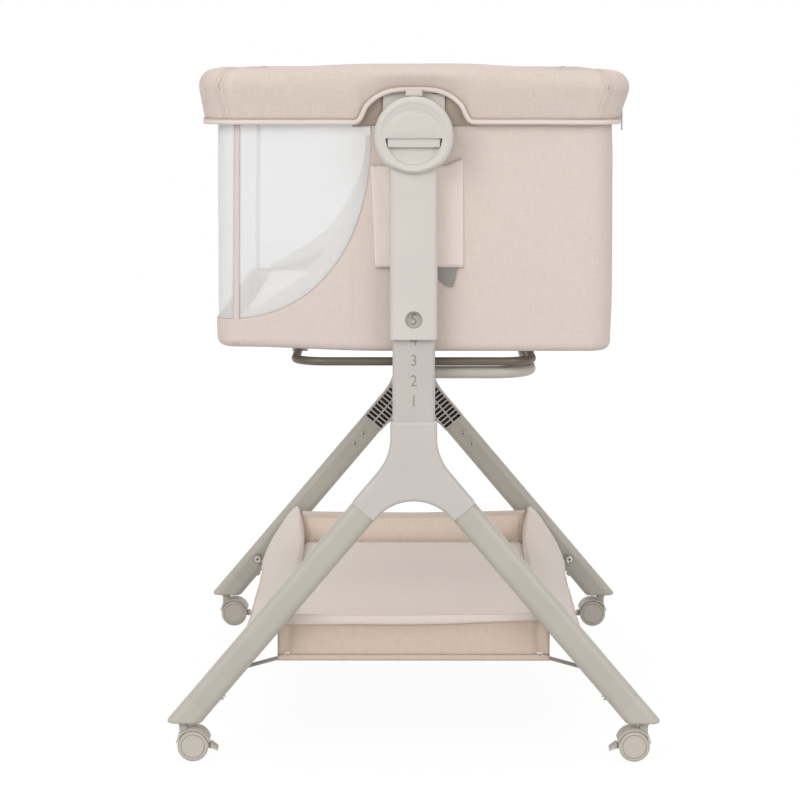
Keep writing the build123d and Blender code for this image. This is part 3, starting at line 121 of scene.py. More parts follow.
def makeGrainGroup():  # the fine even grain of moulded plastic and powder coat, with a soft cloudiness
    group, given, result = newGroup(
        "moulding",
        (("Place", "Vector", None), ("Grain", "Float", 1800), ("Cloud", "Float", 14)),
        (("Tone", "Float"), ("Height", "Float"), ("Gloss", "Float")),
    )
    grains = []
    for scale, detail in (("Grain", 2), ("Cloud", 4)):
        inputs = {"Vector": given.outputs["Place"], "Scale": given.outputs[scale], "Detail": detail}
        grains.append(addNode(group, "ShaderNodeTexNoise", inputs).outputs["Fac"])
    fine, cloud = grains
    group.links.new(fine, result.inputs["Height"])
    group.links.new(cloud, result.inputs["Gloss"])
    both = math(group, "MULTIPLY_ADD", fine, 0.4, math(group, "MULTIPLY", cloud, 0.6))
    group.links.new(both, result.inputs["Tone"])
    return group


def makeNetGroup():  # the threads of a knitted net: 1 on a thread, 0 in a hole
    group, given, result = newGroup(
        "knittedNet",
        (("Place", "Vector", None), ("Holes", "Float", 500), ("Open", "Float", 0.5)),
        (("Thread", "Float"), ("Height", "Float")),
    )
    across, along = threadPlace(group, given, "Holes")[1:]
    waves = [ridges(group, math(group, "MULTIPLY_ADD", across, slope, along)) for slope in (1.7, -1.7)]
    depth = math(group, "MULTIPLY", *waves)
    thread = math(group, "LESS_THAN", depth, math(group, "SUBTRACT", 1, given.outputs["Open"]))
    group.links.new(thread, result.inputs["Thread"])
    group.links.new(math(group, "SUBTRACT", 1, depth), result.inputs["Height"])
    return group


weaveGroup, grainGroup, netGroup = makeWeaveGroup(), makeGrainGroup(), makeNetGroup()


# ---- kinds of material ----
def newMaterial(name, **plain):
    material = bpy.data.materials.new(name)
    material.use_nodes = True
    tree = material.node_tree
    shader = tree.nodes["Principled BSDF"]
    for socket, value in plain.items():
        shader.inputs[socket.replace("_", " ")].default_value = value
    return material, tree, shader


def addPattern(tree, group, coordinates, **values):  # a pattern's group, fed with a place and its numbers
    place = addNode(tree, "ShaderNodeTexCoord").outputs[coordinates]
    return addNode(tree, "ShaderNodeGroup", {"Place": place, **values}, node_tree=group).outputs


def addTone(tree, shader, factor, colour, spread, reach):  # the colour, a little darker to a little lighter
    ramp = addNode(tree, "ShaderNodeValToRGB", {"Fac": factor})
    for stop, share, position in zip(ramp.color_ramp.elements, (1 - spread, 1 + spread), reach):
        stop.color = [min(1, part * share) for part in colour[:3]] + [1]
        stop.position = position
    tree.links.new(ramp.outputs["Color"], shader.inputs["Base Color"])


def addBump(tree, shader, height, strength, distance):
    bump = addNode(tree, "ShaderNodeBump", {"Height": height, "Strength": strength, "Distance": distance})
    tree.links.new(bump.outputs["Normal"], shader.inputs["Normal"])


def clothMaterial(name, colour, threads, slub, spread):
    material, tree, shader = newMaterial(name, Roughness=0.92, Sheen_Weight=0.12, Sheen_Roughness=0.5)
    weave = addPattern(tree, weaveGroup, "UV", Threads=threads, Slub=slub)
    addTone(tree, shader, weave["Tone"], colour, spread, (0.2, 0.8))
    addBump(tree, shader, weave["Height"], 0.5, 0.0002)
    return material


def mouldedMaterial(name, colour, roughness, grain, bump, metallic, coat):
    material, tree, shader = newMaterial(name, Metallic=metallic, Coat_Weight=coat, Coat_Roughness=0.3)
    surface = addPattern(tree, grainGroup, "Object", Grain=grain)
    addTone(tree, shader, surface["Tone"], colour, 0.035, (0.3, 0.7))
    gloss = math(tree, "MULTIPLY_ADD", surface["Gloss"], 0.12, roughness - 0.06)
    tree.links.new(gloss, shader.inputs["Roughness"])
    addBump(tree, shader, surface["Height"], bump, 0.0001)
    return material


def netMaterial(name, colour, holes, openness):
    material, tree, shader = newMaterial(name, Roughness=0.8, Sheen_Weight=0.1)
    net = addPattern(tree, netGroup, "UV", Holes=holes, Open=openness)
    shader.inputs["Base Color"].default_value = colour
    cover = math(tree, "MULTIPLY_ADD", net["Thread"], 0.5, 0.3)
    tree.links.new(cover, shader.inputs["Alpha"])
    addBump(tree, shader, net["Height"], 0.3, 0.0003)
    return material


# ---- meshes ----
def placed(name, data):  # an object at the origin, for a mesh, curve, lamp or camera
    thing = bpy.data.objects.new(name, data)
    bpy.context.scene.collection.objects.link(thing)
    return thing


def bakedMesh(piece):  # the mesh that a piece has after its modifiers
    return bpy.data.meshes.new_from_object(piece.evaluated_get(bpy.context.evaluated_depsgraph_get()))


def newPiece(name, points, faces, material, uvs=None):  # uvs holds a list of corners for each face
    mesh = bpy.data.meshes.new(name)
    mesh.from_pydata([tuple(point) for point in points], [], faces)
    if uvs:
        layer = mesh.uv_layers.new(name="UVMap")
        for face, corners in zip(mesh.polygons, uvs):
            for loop, corner in zip(face.loop_indices, corners):
                layer.data[loop].uv = corner
    mesh.shade_smooth()
    mesh.materials.append(material)
    return placed(name, mesh)


def slabFaces(count):  # for a slab whose lower outline's points come first, and then its upper one's
    faces = [list(range(count))[::-1], list(range(count, 2 * count))]
    for step in range(count):
        after = (step + 1) % count
        faces.append([step, after, count + after, count + step])
    return faces


def gridPiece(name, grid, material, closeRows=False, closeColumns=False, flip=False, thickness=0):
    rows, columns = len(grid), len(grid[0])
    points = [point for row in grid for point in row]
    middle = columns // 2
    runs, spent = [0.0], []
    for row in range(rows):  # lengths along the cloth, which its weave follows
        runs.append(runs[-1] + (grid[(row + 1) % rows][middle] - grid[row][middle]).length)
        steps = [0.0]
        for column in range(columns):
            steps.append(steps[-1] + (grid[row][(column + 1) % columns] - grid[row][column]).length)
        spent.append(steps)
    faces, uvs = [], []
    for row in range(rows if closeRows else rows - 1):
        for column in range(columns if closeColumns else columns - 1):
            corners = ((row, column), (row, column + 1), (row + 1, column + 1), (row + 1, column))
            corners = corners[::-1] if flip else corners
            faces.append([r % rows * columns + c % columns for r, c in corners])
            uvs.append([(runs[r], spent[r % rows][c]) for r, c in corners])
    if closeColumns and not closeRows:  # the two ends of a tube
        caps = [list(range(columns))[::-1], [(rows - 1) * columns + step for step in range(columns)]]
        faces += [cap[::-1] if flip else cap for cap in caps]
        uvs += [[(0, 0)] * columns] * 2
    piece = newPiece(name, points, faces, material, uvs)
    if thickness:
        solid = piece.modifiers.new("thickness", "SOLIDIFY")
        solid.thickness, solid.offset, solid.use_rim = thickness, -1, True
    return piece


def tubePiece(name, route, radius, material, closed=False, sides=6):  # a round tube along a list of points
    count, grid = len(route), []
    turns = [2 * pi * step / sides for step in range(sides)]
    for place, point in enumerate(route):
        before = route[place - 1] if closed or place else route[place]
        after = route[(place + 1) % count] if closed or place < count - 1 else route[place]
        along = (after - before).normalized()
        side = along.cross(Vector((0, 0, 1)))
        side = side.normalized() if side.length > 1e-3 else Vector((1, 0, 0))
        up = side.cross(along)
        grid.append([point + (side * cos(turn) + up * sin(turn)) * radius for turn in turns])
    return gridPiece(name, grid, material, closeRows=closed, closeColumns=True, flip=True)


def joined(name, pieces):  # several meshes as one piece
    whole, materials = bmesh.new(), []
    for piece in pieces:
        mesh = bakedMesh(piece)
        for material in mesh.materials:
            if material not in materials:
                materials.append(material)
        places = [materials.index(material) for material in mesh.materials]
        for face in mesh.polygons:
            face.material_index = places[face.material_index]
        whole.from_mesh(mesh)
        bpy.data.objects.remove(piece)
    mesh = bpy.data.meshes.new(name)
    whole.to_mesh(mesh)
    for material in materials:
        mesh.materials.append(material)
    return placed(name, mesh)


def clothArea(*pieces):  # of one side, before they get their thickness
    return sum(face.area for piece in pieces for face in piece.data.polygons)


def dress(piece, body, slot, *nodes):  # hides the nodes that a finished piece replaces, and hangs it on its body
    if nodes:
        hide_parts(*nodes)
    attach(piece, body)
    return piece


def sewn(name, pieces, body, slot, *nodes):  # pieces of cloth as one, and the area that they have
    area = clothArea(*pieces)
    return dress(joined(name, pieces), body, slot, *nodes), area


# ---- pieces that repeat along a line: stitches, zip coils ----
rowSizes = ("Pitch", "Length", "Width", "Height")


def makeRowTree(title, unit, unitSize):
    sockets = [("Geometry", "Geometry", None), ("Material", "Material", None)]
    sockets += [(size, "Float", None) for size in rowSizes]
    tree, given, result = newGroup(title, sockets, (("Geometry", "Geometry"),), kind="GeometryNodeTree")
    inputs = {"Curve": given.outputs["Geometry"], "Length": given.outputs["Pitch"]}
    line = addNode(tree, "GeometryNodeResampleCurve", inputs, mode="LENGTH")
    shape = addNode(tree, unit, unitSize)
    inputs = {"X": given.outputs["Length"], "Y": given.outputs["Width"], "Z": given.outputs["Height"]}
    size = addNode(tree, "ShaderNodeCombineXYZ", inputs)
    tangent = addNode(tree, "GeometryNodeInputTangent").outputs["Tangent"]
    turned = addNode(tree, "FunctionNodeAlignRotationToVector", {"Vector": tangent}, axis="X")
    row = addNode(tree, "GeometryNodeInstanceOnPoints", {
        "Points": line.outputs[0], "Instance": shape.outputs["Mesh"],
        "Rotation": turned.outputs[0], "Scale": size.outputs[0],
    })
    real = addNode(tree, "GeometryNodeRealizeInstances", {"Geometry": row.outputs[0]})
    inputs = {"Geometry": real.outputs[0], "Material": given.outputs["Material"]}
    painted = addNode(tree, "GeometryNodeSetMaterial", inputs)
    inputs = {"Geometry": painted.outputs[0], "Shade Smooth": True}
    smooth = addNode(tree, "GeometryNodeSetShadeSmooth", inputs)
    tree.links.new(smooth.outputs[0], result.inputs["Geometry"])
    return tree


stitchTree = makeRowTree("stitchRow", "GeometryNodeMeshUVSphere", {"Segments": 6, "Rings": 4, "Radius": 0.5})
toothTree = makeRowTree("toothRow", "GeometryNodeMeshCube", {"Size": (1, 1, 1)})


def rowAlong(name, routes, material, tree, *sizes):  # the sizes as in rowSizes, in millimetres
    curve = bpy.data.curves.new(name, "CURVE")
    curve.dimensions = "3D"
    for route in routes:
        spline = curve.splines.new("POLY")
        spline.points.add(len(route) - 1)
        for point, place in zip(spline.points, route):
            point.co = (*place, 1)
    source = placed(name + "Line", curve)
    modifier = source.modifiers.new("row", "NODES")
    modifier.node_group = tree
    values = {"Material": material, **{size: value * mm for size, value in zip(rowSizes, sizes)}}
    for item in tree.interface.items_tree:
        if item.in_out == "INPUT" and item.name in values:
            modifier[item.identifier] = values[item.name]
    bpy.context.view_layer.update()
    mesh = bakedMesh(source)
    source.modifiers.remove(modifier)
    bpy.data.objects.remove(source)
    return placed(name, mesh)


# ---- finishes ----
clothTable = (  # threads in a metre, how uneven the yarn is, and how far the tone spreads
    ("basket", (219, 205, 196), 1500, 0.9, 0.075),
    ("rim", (214, 199, 190), 1500, 0.8, 0.09),
    ("lip", (232, 220, 212), 1700, 0.4, 0.06),
    # the facing is the basket cloth turned in; its lighter tone is painted light against the shade behind the
    # net
    ("facing", (230, 223, 216), 1500, 0.6, 0.06),
    # the gusset cloth is darkened as painted shade inside the rim's arch
    ("gusset", (176, 160, 146), 1500, 0.6, 0.08),
    # the flap cloth's tone is painted lighter, as light that makes up for the shade of the sleeve in front of
    # it
    ("flap", (233, 219, 212), 1500, 0.9, 0.07),
    # the tray's side cloth is painted lighter, as light for the shade inside the tray
    ("tray", (236, 226, 218), 1500, 0.9, 0.07),
    # the tray floor's tone is painted lighter, as light that makes up for the shade the basket casts on it
    ("trayFloor", (248, 239, 232), 1500, 0.9, 0.06),
    # the two tray end walls are one cloth: the near wall's tone is painted darker as shade, the far wall's
    # painted lighter as light
    ("wall_near", (210, 191, 175), 1500, 0.9, 0.1),
    ("wall_far", (236, 220, 206), 1500, 0.9, 0.1),
    ("hem", (225, 212, 203), 1500, 0.5, 0.06),
    ("mattress", (243, 239, 235), 1100, 0.4, 0.05),
    ("binding", (216, 204, 199), 900, 0.3, 0.12),
    ("zip", (205, 188, 178), 1300, 0.3, 0.06),
    ("piping", (196, 176, 167), 2200, 0.3, 0.06),
    ("edge", (168, 147, 133), 2200, 0.3, 0.06),
    ("thread", (194, 178, 169), 3000, 0.1, 0.05),
)
cloths = {name: clothMaterial(name + "Cloth", rgb(*colour), *weave) for name, colour, *weave in clothTable}
netFinish = netMaterial("sideNet", rgb(237, 238, 239), 620, 0.4)

mouldedTable = (  # roughness, grain, bump, metallic and coat, then how its nodes' names start
    ("hub", (203, 198, 192), 0.46, 2200, 0.06, 0, 0, "hub_cover", "release_lever"),
    ("sleeve", (205, 200, 194), 0.48, 2200, 0.07, 0, 0, "sleeve", "rim_bracket"),
    ("yoke", (196, 191, 186), 0.45, 2200, 0.06, 0, 0, "yoke_near", "yoke_far"),
    ("column", (191, 187, 181), 0.38, 1200, 0.08, 0, 0.1, "column"),
    ("leg", (184, 180, 169), 0.38, 1200, 0.08, 0, 0.12, "leg_"),
    ("foot", (190, 184, 173), 0.45, 2200, 0.06, 0, 0, "foot_cap"),
    ("wheel", (196, 189, 178), 0.4, 2400, 0.05, 0, 0, "castor_wheels"),
    ("castor", (192, 185, 174), 0.45, 2400, 0.05, 0, 0, "castor_fork", "brake_lever", "base_clips"),
    ("lever", (146, 143, 138), 0.5, 2200, 0.07, 0, 0, "fold_lever"),
    ("frame", (187, 182, 171), 0.4, 1200, 0.08, 0, 0.1, "rim_tube", "end_post", "side_bar"),
    # the base ring's dark tone is painted shade, for the shadow under the basket
    ("ring", (100, 90, 76), 0.4, 1200, 0.08, 0, 0.1, "base_ring"),
    ("board", (205, 198, 190), 0.6, 1500, 0.08, 0, 0, "tray_board", "base_board"),
    ("rod", (148, 142, 134), 0.4, 1500, 0.08, 0, 0, "tray_bar", "tray_rails"),
    ("screw", (196, 194, 190), 0.3, 3000, 0.04, 0.9, 0, "yoke_screws", "foot_screws", "tray_fixings"),
    ("spring", (196, 194, 190), 0.3, 3000, 0.04, 0.9, 0, "lock_pin", "release_spring"),
    ("slider", (190, 172, 162), 0.4, 3000, 0.04, 0, 0, "zip_slider"),
    # the dark finish of the screw heads' cross recesses is painted shade
    ("recess", (58, 56, 54), 0.5, 3000, 0.02, 0, 0),
    ("ink", (150, 141, 130), 0.6, 3000, 0.02, 0, 0),
)
moulded = {}
for name, colour, roughness, grain, bump, metallic, coat, *starts in mouldedTable:
    moulded[name] = mouldedMaterial(name + "Finish", rgb(*colour), roughness, grain, bump, metallic, coat)
    for nodeName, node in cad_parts.items():
        if nodeName.startswith(tuple(starts)):
            node.data.materials.clear()
            node.data.materials.append(moulded[name])
print("finishes are on the frame's nodes")


def stitches(name, routes, body, slot, *sizes):
    return dress(rowAlong(name, routes, cloths["thread"], stitchTree, *sizes), body, slot)


# ---- the loop that the basket and its rim follow ----
fabricLow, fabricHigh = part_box("basket_fabric")
meshLow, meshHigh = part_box("basket_mesh")
rimLow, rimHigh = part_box("rim_cover")
basket = {
    "halfWidth": fabricHigh.x, "halfLength": fabricHigh.y, "corner": 30 * mm,
    "bottom": fabricLow.z, "top": fabricHigh.z, "wall": 2.4 * mm, "turn": 9 * mm, "turnShare": 0.12,
    "sill": meshLow.z + 4 * mm, "windowRight": meshHigh.x + 1.2 * mm,
    "arcX": fabricLow.x + 12 * mm, "arcZ": meshLow.z + 238 * mm, "arcPower": 2.2,
}


def cornerCentre(signX, signY):
    return Vector((signX * (basket["halfWidth"] - basket["corner"]),
                   signY * (basket["halfLength"] - basket["corner"]), 0))


def cornerPlace(signX, signY, turn):  # on a rounded corner, turned from the long side towards the end
    normal = Vector((signX * cos(turn), signY * sin(turn), 0))
    return cornerCentre(signX, signY) + normal * basket["corner"], normal


def endPlace(x, signY):  # on the near or far end, and on round its corners
    straightEnd = basket["halfWidth"] - basket["corner"]
    if abs(x) <= straightEnd:
        return Vector((x, signY * basket["halfLength"], 0)), Vector((0, signY, 0))
    turn = radians(90) - (abs(x) - straightEnd) / basket["corner"]
    return cornerPlace(1 if x > 0 else -1, signY, turn)


def offsetPoint(place, out, z):  # a place on the loop, moved out along its normal, at a height
    point, normal = place
    return Vector((point.x + normal.x * out, point.y + normal.y * out, z))


def evenSteps(count):
    return [step / count for step in range(count)]


def windowSteps(count):  # crowded towards the window's upright edge, for the ends of the basket
    left, right = cornerCentre(-1, 0).x, cornerCentre(1, 0).x
    edge = basket["windowRight"]
    steps = [right + (edge - right) * step / count for step in range(count)]
    steps += [edge + (left - edge) * (step / count) ** 2.2 for step in range(count)]
    return [(right - x) / (right - left) for x in steps]


def loopPlaces(endSteps, sideCount, cornerCount):  # once round, anticlockwise from the near right corner
    places = []
    backwards = [1 - step for step in reversed(endSteps[1:])]
    sides = (((1, -1), -90, (1, 1), evenSteps(sideCount)), ((1, 1), 0, (-1, 1), endSteps),
             ((-1, 1), 90, (-1, -1), evenSteps(sideCount)), ((-1, -1), 180, (1, -1), [0] + backwards))
    for here, angle, there, steps in sides:
        for step in evenSteps(cornerCount):
            turn = radians(angle + 90 * step)
            normal = Vector((cos(turn), sin(turn), 0))
            places.append((cornerCentre(*here) + normal * basket["corner"], normal))
        turn = radians(angle + 90)
        normal = Vector((round(cos(turn)), round(sin(turn)), 0))
        start, end = (cornerCentre(*corner) + normal * basket["corner"] for corner in (here, there))
        places += [(start.lerp(end, step), normal) for step in steps]
    return places


def wavy(point, scale, seed):  # a smooth uneven value from -1 to 1
    return noise.noise(point * scale + Vector((seed, seed * 0.7, seed * 1.3)))


def eased(value, start, end):
    part = min(1, max(0, (value - start) / (end - start)))
    return part * part * (3 - 2 * part)


# ---- padded rim with its lip ----
rim = {
    "bottom": rimLow.z - 2.6 * mm, "top": rimHigh.z, "lip": 6.5 * mm, "arch": rimHigh.z - 29 * mm,
    "archFoot": 76 * mm, "fold": rimHigh.z - 8 * mm, "stretch": 1.033, "full": 4.2 * mm,
    # distances out from the basket and up from the lower edge: over the crown, then back inside
    "outside": ((12.2, 6), (13, 11), (15, 20), (17.4, 32), (19.4, 43), (20, 51), (18.8, 59), (15.2, 66),
                (9, 71), (1, 73.4), (-6, 73.4), (-13, 71.4), (-18.4, 67), (-21.2, 60), (-22, 51),
                (-21.8, 42), (-21, 32), (-19.6, 22)),
    "inside": ((-17.6, 20.5), (-17, 32), (-16.8, 54), (-14, 63.5), (-4, 66), (4, 66), (8.4, 60),
               (8.6, 40), (8.6, 16), (9.4, 6)),
}


def archHeight(x):  # of the outer wall's lower edge, above the lip
    foot, across = rim["bottom"] + rim["lip"], min(1, abs(x) / rim["archFoot"])
    return foot + (rim["arch"] - foot) * (1 - across ** 3.3) * eased(1 - across, 0, 0.18)


def atArch(place):
    return abs(place[1].y) > 0.99 and abs(place[0].x) < rim["archFoot"]


def crownDrop(place):  # how far the padded top lies under its highest place, the middle of the near end
    x, y = place[0].x, place[0].y
    drop = 5 * eased(abs(x), 55 * mm, 215 * mm) + 2.5 * eased(x, 100 * mm, 215 * mm)
    return min(9.5, drop + 5.5 * eased(y, -250 * mm, 380 * mm)) * mm


def rimPoint(place, out, rise, puff=1.0):
    outside = out > -6 * mm
    rise *= rim["stretch"]
    z, low = rim["bottom"] + rise, rim["bottom"] + 6 * mm
    if outside:  # fuller on the long sides; on the right one only above the zip
        side = eased(rise, 10 * mm, 45 * mm) if place[1].x > 0 else 1
        out += rim["full"] * abs(place[1].x) * side
    if out > 0 and z < rim["fold"] and atArch(place):  # the outer wall is gathered up over the arch
        bottom = archHeight(place[0].x)
        z = bottom + (z - low) * (rim["fold"] - bottom) / (rim["fold"] - low)
        out = min(out, 14 * mm + (z - bottom) * 0.4)
    z -= crownDrop(place) * eased(rise, 34 * mm, 64 * mm) * (1 if puff else 0.35)
    bare = offsetPoint(place, out, z)
    swell = wavy(bare, 8, 3) * 1.2 + wavy(bare, 24, 8) * 0.6
    pulls = max(0, wavy(Vector((bare.x * 0.5, bare.y * 0.5, bare.z * 3)), 22, 12)) * 0.9
    puff *= eased(z, low + 2 * mm, low + 18 * mm)
    side = 1 if outside else -1
    outward = Vector((place[1].x * side, place[1].y * side, 0.35))
    return bare + outward * ((swell - pulls) * puff * mm)


rimPlaces = loopPlaces(evenSteps(190), 150, 14)
profile = [(out * mm, rise * mm, 1) for out, rise in rim["outside"]]
profile += [(out * mm, rise * mm, 0) for out, rise in rim["inside"]]
grid = [[rimPoint(place, *spot) for spot in profile] for place in rimPlaces]
rimBand = gridPiece("rim_band", grid, cloths["rim"], closeRows=True, closeColumns=True)
finer = rimBand.modifiers.new("finer", "SUBSURF")
finer.levels = finer.render_levels = 1
dress(rimBand, "cradle", "rim_cloth", "rim_cover")


def lipRoute(out, rise):  # once round under the rim's lower edge, and over the arches
    route = []
    for place in rimPlaces:
        x, base, lean = place[0].x, rim["bottom"] + rim["lip"], 0
        if atArch(place):
            base = archHeight(x)
            lean = (archHeight(x + 0.5 * mm) - archHeight(x - 0.5 * mm)) / (1 * mm)
        across = Vector((-lean, 0, 1)).normalized() * rise * mm
        spot = offsetPoint(place, out * mm + rim["full"] * max(0, -place[1].x), base) + across
        route.append(spot + Vector((0, 0, wavy(spot, 16, 2) * 0.6 * mm)))
    return route


lipProfile = ((9.4, 0.4), (12.6, 0.6), (14.2, -0.6), (14.6, -2.8), (14, -5), (12.4, -6.2), (10.2, -6),
              (9.4, -3.5))
lipRoutes = [lipRoute(out, rise) for out, rise in lipProfile]
grid = [list(row) for row in zip(*lipRoutes)]
rimLip = gridPiece("rim_lip", grid, cloths["lip"], closeRows=True, closeColumns=True)
dress(rimLip, "cradle", "rim_cloth")
lipSeam = tubePiece("lip_seam", lipRoute(13.8, 0.9), 0.55 * mm, cloths["piping"], closed=True)
dress(lipSeam, "cradle", "rim_cloth")


def seamRoute(signX, signY, shift, out):  # up the rim beside a corner, leaning out as far as its widest line
    route, widest = [], 51
    for bulge, rise in rim["outside"][:16]:
        lean = 0.11 * min(rise, widest) - 0.16 * max(0, rise - widest)
        x = basket["halfWidth"] - basket["corner"] + (10 + shift + lean) * mm
        route.append(rimPoint(endPlace(signX * x, signY), (bulge + out) * mm, rise * mm))
    return route


seams, seamStitches = [], []
for signX, signY in ((1, -1), (1, 1), (-1, 1), (-1, -1)):
    seams.append(tubePiece("seam", seamRoute(signX, signY, 0, -0.1), 0.8 * mm, cloths["rim"]))
    seamStitches += [seamRoute(signX, signY, shift, 0.25) for shift in (3.2, -3.2)]
seams.append(rowAlong("seamStitches", seamStitches, cloths["thread"], stitchTree, 3.4, 2.4, 0.6, 0.5))
dress(joined("rim_seams", seams), "cradle", "rim_cloth")
stitches("rim_stitches", [lipRoute(14.3, -1.2)], "cradle", "rim_cloth", 3.4, 2.4, 0.6, 0.5)
print("rim done")


# ---- basket: fabric, net, and what is sewn on them ----
def windowEdge(x):  # height of the fabric's upper edge
    left, right = basket["arcX"], basket["windowRight"]
    if x >= right:
        return basket["top"]
    part = max(0, (x - left) / (right - left))
    power = basket["arcPower"]
    return basket["arcZ"] - (basket["arcZ"] - basket["sill"]) * (1 - part ** power) ** (1 / power)


def clothPoint(place, out, z, swell=1.0):  # the stretched cloth, a little uneven between its seams
    bare = offsetPoint(place, out, z)
    held = eased(z - basket["bottom"], 0, 60 * mm) * eased(rim["bottom"] - z, 0, 50 * mm)
    free = eased(abs(bare.x) if abs(place[1].y) > 0.9 else 1, 45 * mm, 80 * mm)
    bow = 1.1 + wavy(bare, 5, 21) * 1.2 + wavy(bare, 15, 31) * 0.45
    if free < 1:
        bow = min(bow * free, 0.3)
    return bare + place[1] * (bow * held * swell * mm)


def lift(place):  # the bottom edge rises a little towards the left side
    return 5.5 * mm * eased(-place[0].x, 40 * mm, 225 * mm)


def stripPoint(place, part, top):  # from the floor's edge round the turned bottom edge and up to the top
    turn, bottom, share = basket["turn"], basket["bottom"] + lift(place), basket["turnShare"]
    if part < share:
        angle = radians(90 * part / share)
        return offsetPoint(place, -turn * (1 - sin(angle)), bottom + turn * (1 - cos(angle)))
    low = bottom + turn
    return clothPoint(place, 0, low + (top - low) * (part - share) / (1 - share))


clothPlaces = loopPlaces(windowSteps(34), 60, 8)
parts = [basket["turnShare"] * step / 6 for step in range(7)]
parts += [basket["turnShare"] + (1 - basket["turnShare"]) * step / 36 for step in range(1, 37)]
grid = [[stripPoint(place, part, windowEdge(place[0].x)) for part in parts] for place in clothPlaces]
wall = gridPiece("basket_wall", grid, cloths["basket"], closeRows=True, thickness=basket["wall"])
area = clothArea(wall)
dress(wall, "cradle", "basket_cloth", "basket_fabric")
spots = [offsetPoint(place, -basket["turn"], basket["bottom"] + lift(place)) for place in clothPlaces]
spots += [point + Vector((0, 0, basket["wall"])) for point in spots]
floorFaces = slabFaces(len(clothPlaces))
floorUvs = [[spots[corner].xy for corner in face] for face in floorFaces]
floorCloth = newPiece("basket_floor", spots, floorFaces, cloths["basket"], floorUvs)
dress(floorCloth, "cradle", "basket_cloth")

netPlaces = [place for place in clothPlaces if place[0].x <= basket["windowRight"] + 5 * mm]
grid = []
for place in netPlaces:  # from the cloth's edge up to the rim tube
    low, high = windowEdge(min(place[0].x, basket["windowRight"] - 0.01 * mm)), basket["top"]
    grid.append([clothPoint(place, -0.4 * mm, low + (high - low) * step / 40, 0.9) for step in range(41)])
net = gridPiece("side_net", grid, netFinish)
area = clothArea(net)
dress(net, "cradle", "mesh_cloth", "basket_mesh")


def onCloth(x, z, signY, out):  # a point on the near or far end of the basket
    return clothPoint(endPlace(x, signY), out, z)


def arcPoint(turn, inward=0.0):  # on the window's curve, from its foot at 0 to its upright at 90 degrees
    power = 2 / basket["arcPower"]
    wide, tall = basket["windowRight"] - basket["arcX"], basket["arcZ"] - basket["sill"]
    sine, cosine = max(0, sin(turn)), max(0, cos(turn))
    x, z = basket["arcX"] + wide * sine ** power, basket["arcZ"] - tall * cosine ** power
    slope = Vector((-tall * sine, wide * cosine)).normalized()
    return x + slope.x * inward, z + slope.y * inward


facing = {"run": 380 * mm, "narrow": 7 * mm, "widening": 15 * mm, "behind": 3.4 * mm, "cloth": 0.6 * mm}
facings = []
for name, signY in ends():  # the cloth is turned in behind the net, as a band along the curve
    grid = []
    for step in range(49):
        angle = 4 + 86 * step / 48
        wide = facing["narrow"] + facing["widening"] * eased(90 - angle, 0, 32) * eased(angle, 0, 25)
        across = [arcPoint(radians(angle), wide * part) for part in (-0.1, 0.3, 0.65, 1)]
        grid.append([onCloth(x, z, signY, -facing["behind"]) for x, z in across])
    # the facing's cloth is painted lighter as light
    facings.append(gridPiece("facing", grid, cloths["facing"], flip=signY > 0, thickness=facing["cloth"]))
windowFacing, area = sewn("window_facing", facings, "cradle", "basket_cloth")

binding = {
    "edges": (216.5, 218.5, 221, 223.6), "foot": 6.4, "draw": 3.2, "farShift": 17,  # all in millimetres
    "proud": 0.7 * mm, "tape": 0.9 * mm, "rise": 8 * mm, "start": 7 * mm,
}
rightSeams = (214 * mm, 217.2 * mm)  # beside the right corner
pipings, bindings, dots = [], [], []
for name, signY in ends():
    edge = [arcPoint(radians(90 * step / 60)) for step in range(61)]
    edge += [(basket["windowRight"], basket["arcZ"] + 4 * mm * step) for step in range(1, 12)]
    curve = [onCloth(x, z, signY, 0.2 * mm) for x, z in edge]  # the dark piping along the window's curve
    pipings.append(tubePiece("piping", curve, 0.9 * mm, cloths["piping"]))
    levels = [basket["bottom"] + binding["start"] + binding["rise"] * step for step in range(41)]
    strip = []
    for z in levels:  # the binding up the left corner; at the far end it goes up the corner's middle
        lean = binding["foot"] - binding["draw"] * (z - basket["bottom"]) / (330 * mm)
        shift = lean + (binding["farShift"] if signY > 0 else 0)
        strip.append([onCloth(-(side + shift) * mm, z, signY, binding["proud"]) for side in binding["edges"]])
    bindings.append(gridPiece("binding", strip, cloths["binding"], flip=signY > 0, thickness=binding["tape"]))
    for column in (0, -1):
        dots.append([row[column] + Vector((0, signY * 0.2 * mm, 0)) for row in strip])
    dots += [[onCloth(x, z, signY, 0.15 * mm) for z in levels] for x in rightSeams]
edgeRoute = [offsetPoint(place, -1.8 * mm, basket["bottom"] + 3 * mm + lift(place)) for place in clothPlaces]
pipings.append(tubePiece("bottomPiping", edgeRoute, 1.5 * mm, cloths["edge"], closed=True))
sillPlaces = [place for place in netPlaces if place[0].x < basket["arcX"] + 4 * mm]
sillRoute = [offsetPoint(place, 0.5 * mm, basket["sill"]) for place in sillPlaces]
pipings.append(tubePiece("sillPiping", sillRoute, 0.9 * mm, cloths["piping"]))
dress(joined("window_piping", pipings), "cradle", "basket_cloth")
dress(joined("corner_binding", bindings), "cradle", "basket_cloth")
stitches("basket_stitches", dots, "cradle", "basket_cloth", 3.2, 1.9, 0.7, 0.6)
print("basket done")


# ---- mattress: a quilted pad, swollen by a cloth pass ----
mattressLow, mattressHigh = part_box("mattress")
mattress = {
    "low": mattressLow, "high": mattressHigh, "inset": 4 * mm, "sink": 4 * mm, "under": 0.8 * mm,
    "voxel": 6 * mm, "pressure": 3.2, "cap": 9 * mm,
    "quilt": 118 * mm, "draw": 2.6 * mm, "channel": 9 * mm,
}


